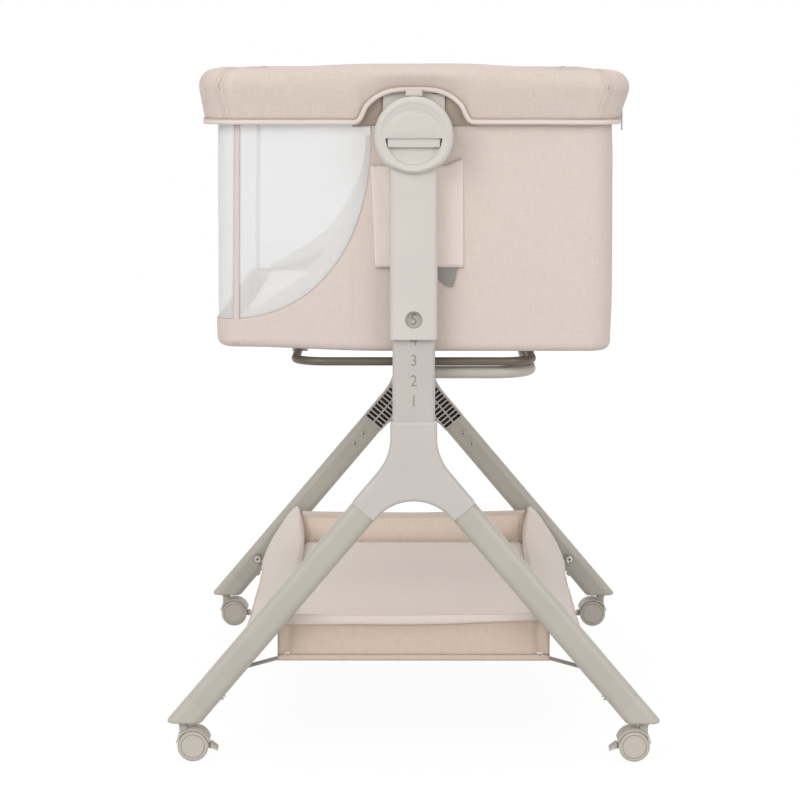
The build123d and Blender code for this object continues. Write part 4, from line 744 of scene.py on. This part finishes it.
def swell(piece, voxel, pressure, cap):  # the cushion recipe: remesh, pressure, and a limit on each point
    remesh = piece.modifiers.new("remesh", "REMESH")
    remesh.mode, remesh.voxel_size = "VOXEL", voxel
    remeshed = bakedMesh(piece)
    piece.modifiers.remove(remesh)
    piece.data = remeshed
    start = [vertex.co.copy() for vertex in remeshed.vertices]
    cloth = piece.modifiers.new("cloth", "CLOTH")
    cloth.settings.use_pressure = True
    cloth.settings.uniform_pressure_force = pressure
    cloth.settings.effector_weights.gravity = 0
    cloth.settings.quality = 5
    for frameNumber in range(1, 21):
        bpy.context.scene.frame_set(frameNumber)
    swollen = bakedMesh(piece)
    bpy.context.scene.frame_set(1)
    piece.modifiers.remove(cloth)
    for vertex, before in zip(swollen.vertices, start):
        move = vertex.co - before
        if move.length > cap:
            vertex.co = before + move.normalized() * cap
    piece.data = swollen


low, high, inset = mattress["low"], mattress["high"], mattress["inset"]
padX, padY = (low.x + inset, high.x - inset), (low.y + inset, high.y - inset)
corners = [
    (padX[right], padY[far], z)
    for z in (low.z + mattress["under"], high.z - mattress["sink"])
    for right, far in ((0, 0), (1, 0), (1, 1), (0, 1))
]
pad = newPiece("mattress_pad", corners, slabFaces(4), cloths["mattress"])
swell(pad, mattress["voxel"], mattress["pressure"], mattress["cap"])
for vertex in pad.data.vertices:  # sewn channels, and nothing outside the solid that it stands for
    spot = vertex.co
    if spot.z > (low.z + high.z) / 2:
        for along in (spot.x + spot.y, spot.x - spot.y):
            apart = abs((along / mattress["quilt"] + 0.5) % 1 - 0.5) * mattress["quilt"] / mattress["channel"]
            spot.z -= mattress["draw"] * max(0, 1 - apart) ** 2
    spot.x, spot.y = min(high.x, max(low.x, spot.x)), min(high.y, max(low.y, spot.y))
    spot.z = min(high.z + 1 * mm, max(low.z, spot.z))
pad.data.shade_smooth()
pad.data.materials.clear()
pad.data.materials.append(cloths["mattress"])
finer = pad.modifiers.new("finer", "SUBSURF")
finer.levels = finer.render_levels = 1
dress(pad, "cradle", "mattress_cloth", "mattress")
print("mattress done")


# ---- end flaps over the posts ----
flapLow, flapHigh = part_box("end_flaps")
flap = {
    "left": -52 * mm, "right": 61.5 * mm, "bottom": flapLow.z, "top": flapHigh.z, "front": flapHigh.y,
    "back": basket["halfLength"] + 0.4 * mm, "lift": 8 * mm, "round": 2.2 * mm, "hem": 5 * mm,
    "cloth": 0.8 * mm,
}


def flapRoute():  # across the flap from one sewn edge to the other: x, and distance behind its face
    radius, depth = flap["round"], flap["front"] - flap["back"]
    turns = [radians(18 * step) for step in range(6)]
    span = flap["right"] - flap["left"] - 2 * radius
    route = [(flap["left"], depth)]
    route += [(flap["left"] + radius * (1 - cos(turn)), radius * (1 - sin(turn))) for turn in turns]
    route += [(flap["left"] + radius + span * step / 26, 0) for step in range(1, 26)]
    route += [(flap["right"] - radius * (1 - sin(turn)), radius * (1 - cos(turn))) for turn in turns]
    return route + [(flap["right"], depth)]


def flapPoint(x, behind, part, signY, out=0.0):  # its left edge leans and its right corner is drawn up
    corner = eased(x, 38 * mm, flap["right"])
    leftPart = eased(-x, 30 * mm, 52 * mm)
    x += (3.6 - 5.6 * part) * mm * leftPart + (1 - part) * 1.2 * mm * corner
    top = flap["top"] + flap["lift"] * corner
    z = flap["bottom"] + (top - flap["bottom"]) * part
    give = eased(abs(x), 32 * mm, 44 * mm)
    billow = (wavy(Vector((x, signY, z)), 19, 41) - 0.6) * 1.2 * give * (1 if behind < 3 * mm else 0)
    return Vector((x, signY * (flap["front"] - behind + billow * mm + out), z))


flapPieces, flapRows = [], []
for name, signY in ends():
    route = flapRoute()
    levels = [step / 24 for step in range(25)]
    grid = [[flapPoint(x, behind, part, signY) for part in levels] for x, behind in route]
    # the flap's cloth carries painted light
    flapPieces.append(gridPiece("flap", grid, cloths["flap"], flip=signY > 0, thickness=flap["cloth"]))
    for x in (flap["left"] + flap["hem"], flap["left"] + 2.2 * flap["hem"], flap["right"] - flap["hem"]):
        flapRows.append([flapPoint(x, 0, part, signY, 0.2 * mm) for part in levels])
    for part in (0.04, 0.96):
        flapRows.append([flapPoint(x, behind, part, signY, 0.2 * mm) for x, behind in route[6:-6]])
flaps, area = sewn("end_flap_cloth", flapPieces, "cradle", "flap_fabric", "end_flaps")
stitches("flap_stitches", flapRows, "cradle", "flap_fabric", 3.0, 2.1, 0.6, 0.5)
print("flaps done")


# ---- zip: a tape up each right corner and along the rim, each with its coil ----
zipLow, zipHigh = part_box("zip_chain")
zipping = {
    "bottom": zipLow.z, "top": rim["bottom"] - 0.3 * mm, "half": 2.5 * mm, "in": 3 * mm, "tape": 0.8 * mm,
    "runX": zipHigh.x - 0.5 * mm, "runZ": zipHigh.z - 2.5 * mm, "runEnd": 359 * mm, "lean": 0.16,
}
tapes, coils = [], []
levels = [zipping["bottom"] + (zipping["top"] - zipping["bottom"]) * step / 24 for step in range(25)]
middleTurn = acos(1 - zipping["in"] / basket["corner"])
halfTurn = zipping["half"] / basket["corner"]
for name, signY in ends():
    places = [cornerPlace(1, signY, middleTurn + halfTurn * side) for side in (-1, -1 / 3, 1 / 3, 1)]
    strip = [[clothPoint(place, 0.9 * mm, z) for z in levels] for place in places]
    tapes.append(gridPiece("tape", strip, cloths["zip"], flip=signY < 0, thickness=zipping["tape"]))
    coils.append([clothPoint(cornerPlace(1, signY, middleTurn), 1.1 * mm, z) for z in levels])
ys = [zipping["runEnd"] * (step / 60 - 1) for step in range(121)]
strip = []
for rise in (-2.5 * mm, -0.9 * mm, 0.9 * mm, 2.5 * mm):  # the tape leans out towards its upper edge
    x = zipping["runX"] - 0.5 * mm + rise * zipping["lean"]
    strip.append([Vector((x, y, zipping["runZ"] + rise)) for y in ys])
tapes.append(gridPiece("tape", strip, cloths["zip"], flip=True, thickness=zipping["tape"]))
coils.append([Vector((zipping["runX"] - 0.3 * mm, y, zipping["runZ"])) for y in ys])
zipTapes, area = sewn("zip_tapes", tapes, "cradle", "zip_tape", "zip_chain")
dress(rowAlong("zip_coils", coils, cloths["zip"], toothTree, 1.6, 0.9, 2.6, 0.9), "cradle", "zip_tape")
print("zip done")


# ---- hub covers: a soft ring, a face over the upper half, and a scooped finger recess ----
hubLow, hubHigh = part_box("hub_cover_near")
hub = {
    "centre": (hubLow.z + hubHigh.z) / 2, "radius": (hubHigh.x - hubLow.x) / 2, "inner": 35.6 * mm,
    "back": -hubHigh.y, "chord": (hubLow.z + hubHigh.z) / 2 - 2.5 * mm,
    "face": -hubLow.y - 2.6 * mm, "plate": 2.3 * mm, "shoulder": 44 * mm, "recess": 0.25 * mm,
    # the ring's inner half: millimetres out from its inner edge, and forward of the face
    "crest": ((0, -0.6), (0.12, -0.1), (0.4, 0), (1.2, 0), (3, 0.05), (4.6, 0.5), (6, 1.1), (7.4, 1.45)),
}


def ringPoint(turn, radius, depth):  # the ring's lower edge is drawn in, where it runs into the sleeve
    blend = eased(-sin(turn), 0.62, 0.96)
    radius -= blend * max(0, radius - 41 * mm) * 0.42
    depth -= blend * eased(radius, 40 * mm, 46 * mm) * 1.2 * mm
    return radius * cos(turn), hub["centre"] + radius * sin(turn), depth


def makeHub(name, signY):
    back, face, inner, outer, shoulder = (hub[key] for key in ("back", "face", "inner", "radius", "shoulder"))
    section = [(inner, back)] + [(inner + out * mm, face + rise * mm) for out, rise in hub["crest"]]
    for step in range(9):
        bend = radians(90 * step / 8)
        depth = face + 1.5 * mm - 6.4 * mm * (1 - cos(bend))
        section.append((shoulder + (outer - shoulder) * sin(bend), depth))
    section.append((outer, back))
    grid = []
    for step in range(96):
        turn = 2 * pi * step / 96
        ring = []
        for radius, depth in section:
            x, z, depth = ringPoint(turn, radius, depth)
            ring.append(Vector((x, signY * max(depth, back), z)))
        grid.append(ring)
    ringPiece = gridPiece("ring", grid, moulded["hub"], closeRows=True, closeColumns=True, flip=signY < 0)
    plate, reach = [], inner + 0.5 * mm
    for step in range(61):
        x = reach * 0.9995 * sin(radians(90 * (step / 30 - 1)))
        top = hub["centre"] + sqrt(max(0, reach ** 2 - x ** 2))
        low = min(hub["chord"], top - 0.4 * mm)
        column = [(low, face - hub["plate"]), (low, face - 0.7 * mm), (low + 0.15 * mm, face - 0.25 * mm)]
        column += [(low + (0.5 * mm if top - low > 2 * mm else 0.2 * mm), face - 0.04 * mm)]
        column += [(low + (top - low) * part, face - 0.02 * mm) for part in (0.35, 0.7, 1)]
        column.append((top, face - hub["plate"]))
        plate.append([Vector((x, signY * depth, z)) for z, depth in column])
    platePiece = gridPiece("plate", plate, moulded["hub"], closeColumns=True, flip=signY > 0)
    scoop = []
    for step in range(49):  # the recess is deepest under the bar and comes forward towards the ring
        x = (inner + 0.2 * mm) * 0.999 * sin(radians(90 * (step / 24 - 1)))
        foot = hub["centre"] - sqrt(max(0, (inner + 0.2 * mm) ** 2 - x ** 2))
        column = []
        for place in range(17):
            part = place / 16
            rise = eased(part, 0.5, 1.04) * (0.25 + 0.75 * max(0, 1 - abs(x) / inner) ** 0.6)
            column.append(Vector((x, signY * (back + 0.3 * mm + rise * (face - back - 0.4 * mm)),
                                  hub["chord"] + (foot - hub["chord"]) * part)))
        scoop.append(column)
    scoopPiece = gridPiece("scoop", scoop, moulded["hub"], flip=signY < 0, thickness=hub["recess"])
    return joined(name, [ringPiece, platePiece, scoopPiece])


for name, signY in ends():
    dress(makeHub("hub_" + name, signY), "cradle", "hub_plastic", "hub_cover_" + name)
print("hubs done")


# ---- dark gussets that close the rim's arch behind the bracket, their tone painted shade ----
gusset = {"half": 78 * mm, "run": 160 * mm, "cloth": 0.6 * mm}
shadeGussets = []
for name, signY in ends():
    grid = []
    for step in range(81):
        x = gusset["half"] * (step / 40 - 1)
        top = min(archHeight(x) + 5 * mm, rim["top"] - 14 * mm)
        low = rim["bottom"] - 2 * mm - 1.5 * mm * wavy(Vector((x, signY, 0)), 40, 5)
        row = []
        for place in range(13):
            part = place / 12
            out = (2.2 + 3.4 * part + 1.4 * wavy(Vector((x, part * 0.05, signY)), 34, 17)) * mm
            clear = eased(abs(x), 36 * mm, 44 * mm)
            out = out * clear + 0.4 * mm * (1 - clear)
            row.append(Vector((x, signY * (basket["halfLength"] + out), low + (top - low) * part)))
        grid.append(row)
    shadeGussets.append(gridPiece("gusset", grid, cloths["gusset"], flip=signY > 0, thickness=gusset["cloth"]))
archShadeGussets, area = sewn("arch_shadeGussets", shadeGussets, "cradle", "rim_cloth")
print("gussets done")


# ---- storage tray: a padded floor, two draped sides and two hemmed ends ----
trayLow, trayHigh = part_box("storage_tray")
boardLow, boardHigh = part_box("tray_board")
tray = {
    "halfWidth": boardHigh.x + 8 * mm, "halfLength": trayHigh.y, "low": boardLow.z - 3.3 * mm,
    "floor": boardHigh.z + 1.2 * mm, "peak": trayHigh.z, "ridge": trayHigh.z - 40 * mm,
    "skirt": trayLow.z + 1 * mm, "skirtX": trayHigh.x, "draw": 6 * mm, "run": 120 * mm,
    "hemTop": trayHigh.z - 6 * mm, "wall": 1.6 * mm, "tunnel": 3.6 * mm, "barHalf": 2.3 * mm,
    "hem": ((-2.1, 2.4), (-1.4, 4), (0, 4.7), (1.6, 4.4), (2.9, 3), (3.6, 0), (3.7, -3.4), (3.2, -6),
            (2, -7.2), (0.2, -6.6), (-0.8, -5), (-1.9, 0)),
}


def held(y):  # 1 where the studs hold the side's ridge up, 0 between them
    return max(0, 1 - (tray["halfLength"] - abs(y)) / tray["run"]) ** 1.7


def sideRoute(y):  # from the floor's edge up to the ridge, over it and down to the skirt's hem
    ridgeX = tray["halfWidth"] + (held(y) * 9 - 4) * mm
    ridgeZ = tray["ridge"] + (tray["peak"] - tray["ridge"]) * held(y)
    hemX = tray["skirtX"] - tray["draw"] * (1 - held(y) ** 0.5)
    foot = (tray["halfWidth"] - 1 * mm, tray["low"])
    route = []
    for step in range(9):  # the inner face leans a little into the tray
        part = step / 9
        lean = sin(pi * part) * (3 + 2 * wavy(Vector((y, part * 0.2, 3)), 9, 51)) * mm
        route.append((foot[0] + (ridgeX - foot[0]) * part - lean, foot[1] + (ridgeZ - foot[1]) * part))
    for step in range(5):  # the rounded ridge
        turn = radians(180 - 35 * step)
        route.append((ridgeX + 2.4 * mm + cos(turn) * 2.4 * mm, ridgeZ - 2 * mm + sin(turn) * 2 * mm))
    start = route[-1]
    for step in range(1, 15):  # the outer drape is fuller in its upper half
        part = step / 14
        x = start[0] + (hemX - start[0]) * part
        z = start[1] + (tray["skirt"] - start[1]) * part
        full = sin(pi * part ** 0.8) * (5 + 3 * wavy(Vector((y, part * 0.3, 7)), 7, 61)) * mm
        ripple = wavy(Vector((y, 0, 1)), 30, 71) * 1.6 * mm * part
        route.append((x + full * 0.85 + ripple, z + full * 0.5))
    return route


def sideLine(side, place, out, up):  # along the tray, at one of the places across its side
    return [Vector((side * (route[place][0] + out), y, route[place][1] + up)) for y, route in routes]


sidePieces, sideSeams, sideRows, endPieces, hems, hemRows = [], [], [], [], [], []
ys = [-tray["halfLength"] * cos(pi * step / 70) for step in range(71)]  # closer together at the ends
routes = [(y, sideRoute(y)) for y in ys]
for side in (1, -1):
    grid = [[Vector((side * x, y, z)) for x, z in route] for y, route in routes]
    sidePieces.append(gridPiece("side", grid, cloths["tray"], flip=side > 0, thickness=tray["wall"]))
    sideSeams.append(tubePiece("seam", sideLine(side, 11, 0, 0.2 * mm), 1.1 * mm, cloths["hem"]))
    sideSeams.append(tubePiece("hem", sideLine(side, -1, 0, 1 * mm), 2.2 * mm, cloths["hem"], sides=8))
    sideRows += [sideLine(side, place, 0.5 * mm, 0.5 * mm) for place in (9, 14, 25)]


def endPoint(x, part, signY, out=0.0):  # an end wall between its two gathered corners
    across = x / tray["halfWidth"]
    top = tray["hemTop"] - 5 * mm - 3 * mm * (1 - across ** 2) + 1.8 * mm * across
    z = tray["low"] + (top - tray["low"]) * part
    fold = eased(abs(x), tray["halfWidth"] - 17 * mm, tray["halfWidth"] - 7 * mm)
    pinched = min(1, max(0, (abs(x) - tray["halfWidth"] + 20 * mm) / (16 * mm)))
    pinch = sin(pi * pinched) * 4 * mm
    belly = sin(pi * part) * (5 + 4 * wavy(Vector((x, part * 0.1, signY)), 6, 81)) * mm * (1 - fold)
    y = tray["halfLength"] - 1 * mm - belly - pinch * (1 - 0.4 * part) + out
    return Vector((x, signY * y, z))


xs = [tray["halfWidth"] * (step / 45 - 1) for step in range(91)]
for name, signY in ends():
    grid = [[endPoint(x, part / 14, signY) for part in range(15)] for x in xs]
    # each end wall takes its own tone: painted shade at the near end, painted light at the far end
    endPieces.append(gridPiece("end", grid, cloths["wall_" + name], flip=signY > 0, thickness=tray["wall"]))
    hemGrid = []
    for x in xs:  # the hem is turned over to the outside
        top = endPoint(x, 1, signY)
        roll = 1 + 0.16 * wavy(Vector((x, signY, 0)), 12, 91) - 0.16 * x / tray["halfWidth"]
        rolled = [Vector((0, signY * out, 1 + rise * roll)) * mm for out, rise in tray["hem"]]
        hemGrid.append([top + spot for spot in rolled])
    hems.append(gridPiece("hem", hemGrid, cloths["hem"], closeColumns=True, flip=signY > 0))
    barLow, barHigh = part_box("tray_bar_" + name)
    barY, barZ = (barLow.y + barHigh.y) / 2, barHigh.z - tray["barHalf"]
    turns = [2 * pi * step / 12 for step in range(12)]
    ring = [(barY + tray["tunnel"] * cos(turn), barZ + tray["tunnel"] * sin(turn)) for turn in turns]
    tunnel = [[Vector((x, y, z)) for y, z in ring] for x in xs]  # the wall's foot, round the cross bar
    # the tunnel takes the near wall's darker tone, which is painted shade
    hems.append(gridPiece("tunnel", tunnel, cloths["wall_near"], closeColumns=True))
    hemRows.append([endPoint(x, 0.93, signY, 2.3 * mm) + Vector((0, 0, 1 * mm)) for x in xs])
    hemRows.append([endPoint(x, 0.03, signY, 0.6 * mm) for x in xs])

traySides, area = sewn("tray_sides", sidePieces, "stand", "tray_fabric", "storage_tray")
trayEnds, area = sewn("tray_ends", endPieces, "stand", "tray_fabric")
dress(joined("tray_hems", hems + sideSeams), "stand", "tray_fabric")
stitches("tray_stitches", sideRows + hemRows, "stand", "tray_fabric", 3.6, 2.5, 0.7, 0.6)

floorRows = []
for step in range(61):  # a thin pad with rounded edges, which covers the board
    y = tray["halfLength"] * 0.994 * (step / 30 - 1)
    row = []
    for place in range(41):
        x = (tray["halfWidth"] - 1.5 * mm) * (place / 20 - 1)
        edge = min(tray["halfWidth"] - abs(x), tray["halfLength"] - abs(y))
        rise = (tray["floor"] - tray["low"]) * (0.25 + 0.75 * eased(edge, 0, 8 * mm))
        rise += (wavy(Vector((x, y, 0)), 7, 15) + 0.3) * 0.8 * mm * eased(edge, 4 * mm, 30 * mm)
        row.append(Vector((x, y, tray["low"] + rise)))
    floorRows.append(row)
under = [[Vector((point.x, point.y, tray["low"])) for point in row] for row in floorRows]
# the pad takes the tray floor cloth, whose lighter tone is painted light
topPiece = gridPiece("top", floorRows, cloths["trayFloor"], flip=True)
underPiece = gridPiece("under", under, cloths["trayFloor"])
trayFloor = joined("tray_floor", [topPiece, underPiece])
shell = bmesh.new()
shell.from_mesh(trayFloor.data)
bmesh.ops.bridge_loops(shell, edges=[edge for edge in shell.edges if edge.is_boundary])
bmesh.ops.recalc_face_normals(shell, faces=shell.faces)
shell.to_mesh(trayFloor.data)
trayFloor.data.shade_smooth()
dress(trayFloor, "stand", "tray_fabric")
print("tray done")


# ---- printed step numbers on the columns ----
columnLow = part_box("column_near")[0]
digits = {
    "height": 14.4 * mm, "pitch": 26 * mm, "top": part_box("lock_pin_near")[0].z - 125 * mm,
    "proud": 0.04 * mm, "narrow": 0.96, "share": 0.7,  # a digit's height as a share of the type's size
}


def makeDigit(text, signY, z):
    curve = bpy.data.curves.new("digit", "FONT")
    curve.body, curve.size, curve.extrude = text, digits["height"] / digits["share"], digits["proud"]
    curve.align_x = curve.align_y = "CENTER"
    source = placed("digit", curve)
    mesh = bakedMesh(source)
    bpy.data.objects.remove(source)
    heights = [vertex.co.y for vertex in mesh.vertices]
    middle = (max(heights) + min(heights)) / 2
    stretch = digits["height"] / (max(heights) - min(heights))
    surface = -columnLow.y + digits["proud"] * 0.8
    for vertex in mesh.vertices:
        x, y, depth = vertex.co
        vertex.co = (-signY * x * digits["narrow"], signY * (surface + depth), z + (y - middle) * stretch)
    mesh.materials.clear()
    mesh.materials.append(moulded["ink"])
    return placed("digit", mesh)


numbers = []
for name, signY in ends():
    for step in range(5):
        numbers.append(makeDigit(str(5 - step), signY, digits["top"] - digits["pitch"] * step))
stepNumbers = joined("step_numbers", numbers)
dress(stepNumbers, "stand", "column_metal")


# ---- painted shade for the cross recesses in the screw and bolt heads: dark flat marks, not hollows ----
def islandBoxes(nodeName):  # the boxes of a node's separate solids
    shell = bmesh.new()
    shell.from_mesh(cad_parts[nodeName].data)
    bmesh.ops.remove_doubles(shell, verts=shell.verts, dist=1e-6)
    left, boxes = set(shell.verts), []
    for start in shell.verts:
        if start not in left:
            continue
        left.remove(start)
        stack, spots = [start], []
        while stack:
            vertex = stack.pop()
            spots.append(vertex.co.copy())
            joinedOn = {edge.other_vert(vertex) for edge in vertex.link_edges} & left
            left -= joinedOn
            stack += joinedOn
        boxes.append([Vector([pick(values) for values in zip(*spots)]) for pick in (min, max)])
    shell.free()
    return boxes


def crossRecessShade(low, high, size):  # a dark four-armed mark of painted shade for the recess, on the face of a head with this box
    facing = 1 if low.y < 0 else -1
    x, y, z = (low.x + high.x) / 2, high.y if facing > 0 else low.y, (low.z + high.z) / 2
    arm, half = size * 0.5, size * 0.13
    outline, corners = [], [(half, arm), (-half, arm), (-half, half)]
    for quarter in range(4):
        outline += corners
        corners = [(-b, a) for a, b in corners]
    front = [Vector((x + a * facing, y + facing * 0.06 * mm, z + b)) for a, b in outline]
    back = [point - Vector((0, facing * 0.3 * mm, 0)) for point in front]
    return newPiece("recess", front + back, slabFaces(len(outline)), moulded["recess"])


def isBolt(low, high):  # the other solids of the fixings are flat washers and nuts
    return high.y - low.y >= 17 * mm and high.x - low.x <= 12 * mm


recessShades = [crossRecessShade(*box, 4.4 * mm) for box in islandBoxes("yoke_screws")]
recessShades += [crossRecessShade(*box, 5.4 * mm) for box in islandBoxes("tray_fixings") if isBolt(*box)]
print(len(recessShades), "recessShades")
recessShadePiece = joined("head_recessShades", recessShades)
recessShadePiece.data.shade_flat()
dress(recessShadePiece, "stand", "screw_steel")
print("small pieces done")


# ---- stage, light and camera ----
studio = {
    "sky": 0.6, "floorHalf": 6, "floorGlow": 0.88, "floorTone": 0.7, "glowStrength": 1.06, "aim": (0, 0, 0.6),
    "sensor": 36, "lens": 130.374, "eye": (-1.9, -4094.7, 921.1), "pitch": 7.075, "yaw": 0.244,
}


def makeStage():
    half = studio["floorHalf"]
    corners = [(x * half, y * half, -0.0004) for x, y in ((-1, -1), (1, -1), (1, 1), (-1, 1))]
    newPiece("floor", corners, [(0, 1, 2, 3)], stageMaterial())
    world = bpy.data.worlds.new("studio")
    world.use_nodes = True
    tree = world.node_tree
    tree.nodes.clear()
    rays = addNode(tree, "ShaderNodeLightPath")
    seen = addNode(tree, "ShaderNodeBackground", {"Color": (1, 1, 1, 1), "Strength": 1})
    soft = addNode(tree, "ShaderNodeBackground", {"Color": (1, 0.985, 0.97, 1), "Strength": studio["sky"]})
    direct = math(tree, "MAXIMUM", rays.outputs["Is Camera Ray"], rays.outputs["Is Transmission Ray"])
    direct = math(tree, "MAXIMUM", direct, rays.outputs["Is Glossy Ray"])
    mixed = addNode(tree, "ShaderNodeMixShader", {0: direct, 1: soft.outputs[0], 2: seen.outputs[0]})
    addNode(tree, "ShaderNodeOutputWorld", {"Surface": mixed.outputs[0]})
    bpy.context.scene.world = world


def stageMaterial():  # plain white to the camera, darkened a little by the shadow under the wheels
    material, tree, shader = newMaterial("stageWhite", Roughness=0.5)
    shader.inputs["Base Color"].default_value = (*[studio["floorTone"]] * 3, 1)
    glow = addNode(tree, "ShaderNodeEmission", {"Color": (1, 1, 1, 1), "Strength": studio["glowStrength"]})
    rays = addNode(tree, "ShaderNodeLightPath")
    place = addNode(tree, "ShaderNodeTexCoord").outputs["Object"]
    reach = addNode(tree, "ShaderNodeVectorMath", {0: place}, operation="LENGTH").outputs["Value"]
    share = addNode(tree, "ShaderNodeMapRange", {
        "Value": reach, "From Min": 0.7, "From Max": 2.0, "To Min": studio["floorGlow"], "To Max": 1,
    }).outputs["Result"]
    direct = math(tree, "MAXIMUM", rays.outputs["Is Camera Ray"], rays.outputs["Is Glossy Ray"])
    share = math(tree, "MULTIPLY", direct, share)
    mixed = addNode(tree, "ShaderNodeMixShader", {0: share, 1: shader.outputs[0], 2: glow.outputs[0]})
    tree.links.new(mixed.outputs[0], tree.nodes["Material Output"].inputs["Surface"])
    return material


def addSoftLight(name, place, size, power):
    light = bpy.data.lights.new(name, "AREA")
    light.shape, light.size, light.size_y = "RECTANGLE", size[0], size[1]
    light.energy = power
    lamp = placed(name, light)
    lamp.location = place
    lamp.rotation_euler = (Vector(studio["aim"]) - lamp.location).to_track_quat("-Z", "Y").to_euler()


makeStage()
addSoftLight("keyLeft", (-1.9, -3.3, 2.5), (2.4, 2.0), 57)
addSoftLight("fillRight", (2.2, -3.0, 1.9), (2.2, 2.2), 31)
addSoftLight("overhead", (0, 0.4, 3.2), (3.0, 3.0), 20)

camera = bpy.data.cameras.new("camera")
camera.sensor_width, camera.lens = studio["sensor"], studio["lens"]
viewer = placed("camera", camera)
viewer.location = Vector(studio["eye"]) * mm
viewer.rotation_euler = Euler((radians(90 - studio["pitch"]), 0, radians(studio["yaw"])))
bpy.context.scene.camera = viewer
bpy.context.scene.view_settings.view_transform = "Standard"
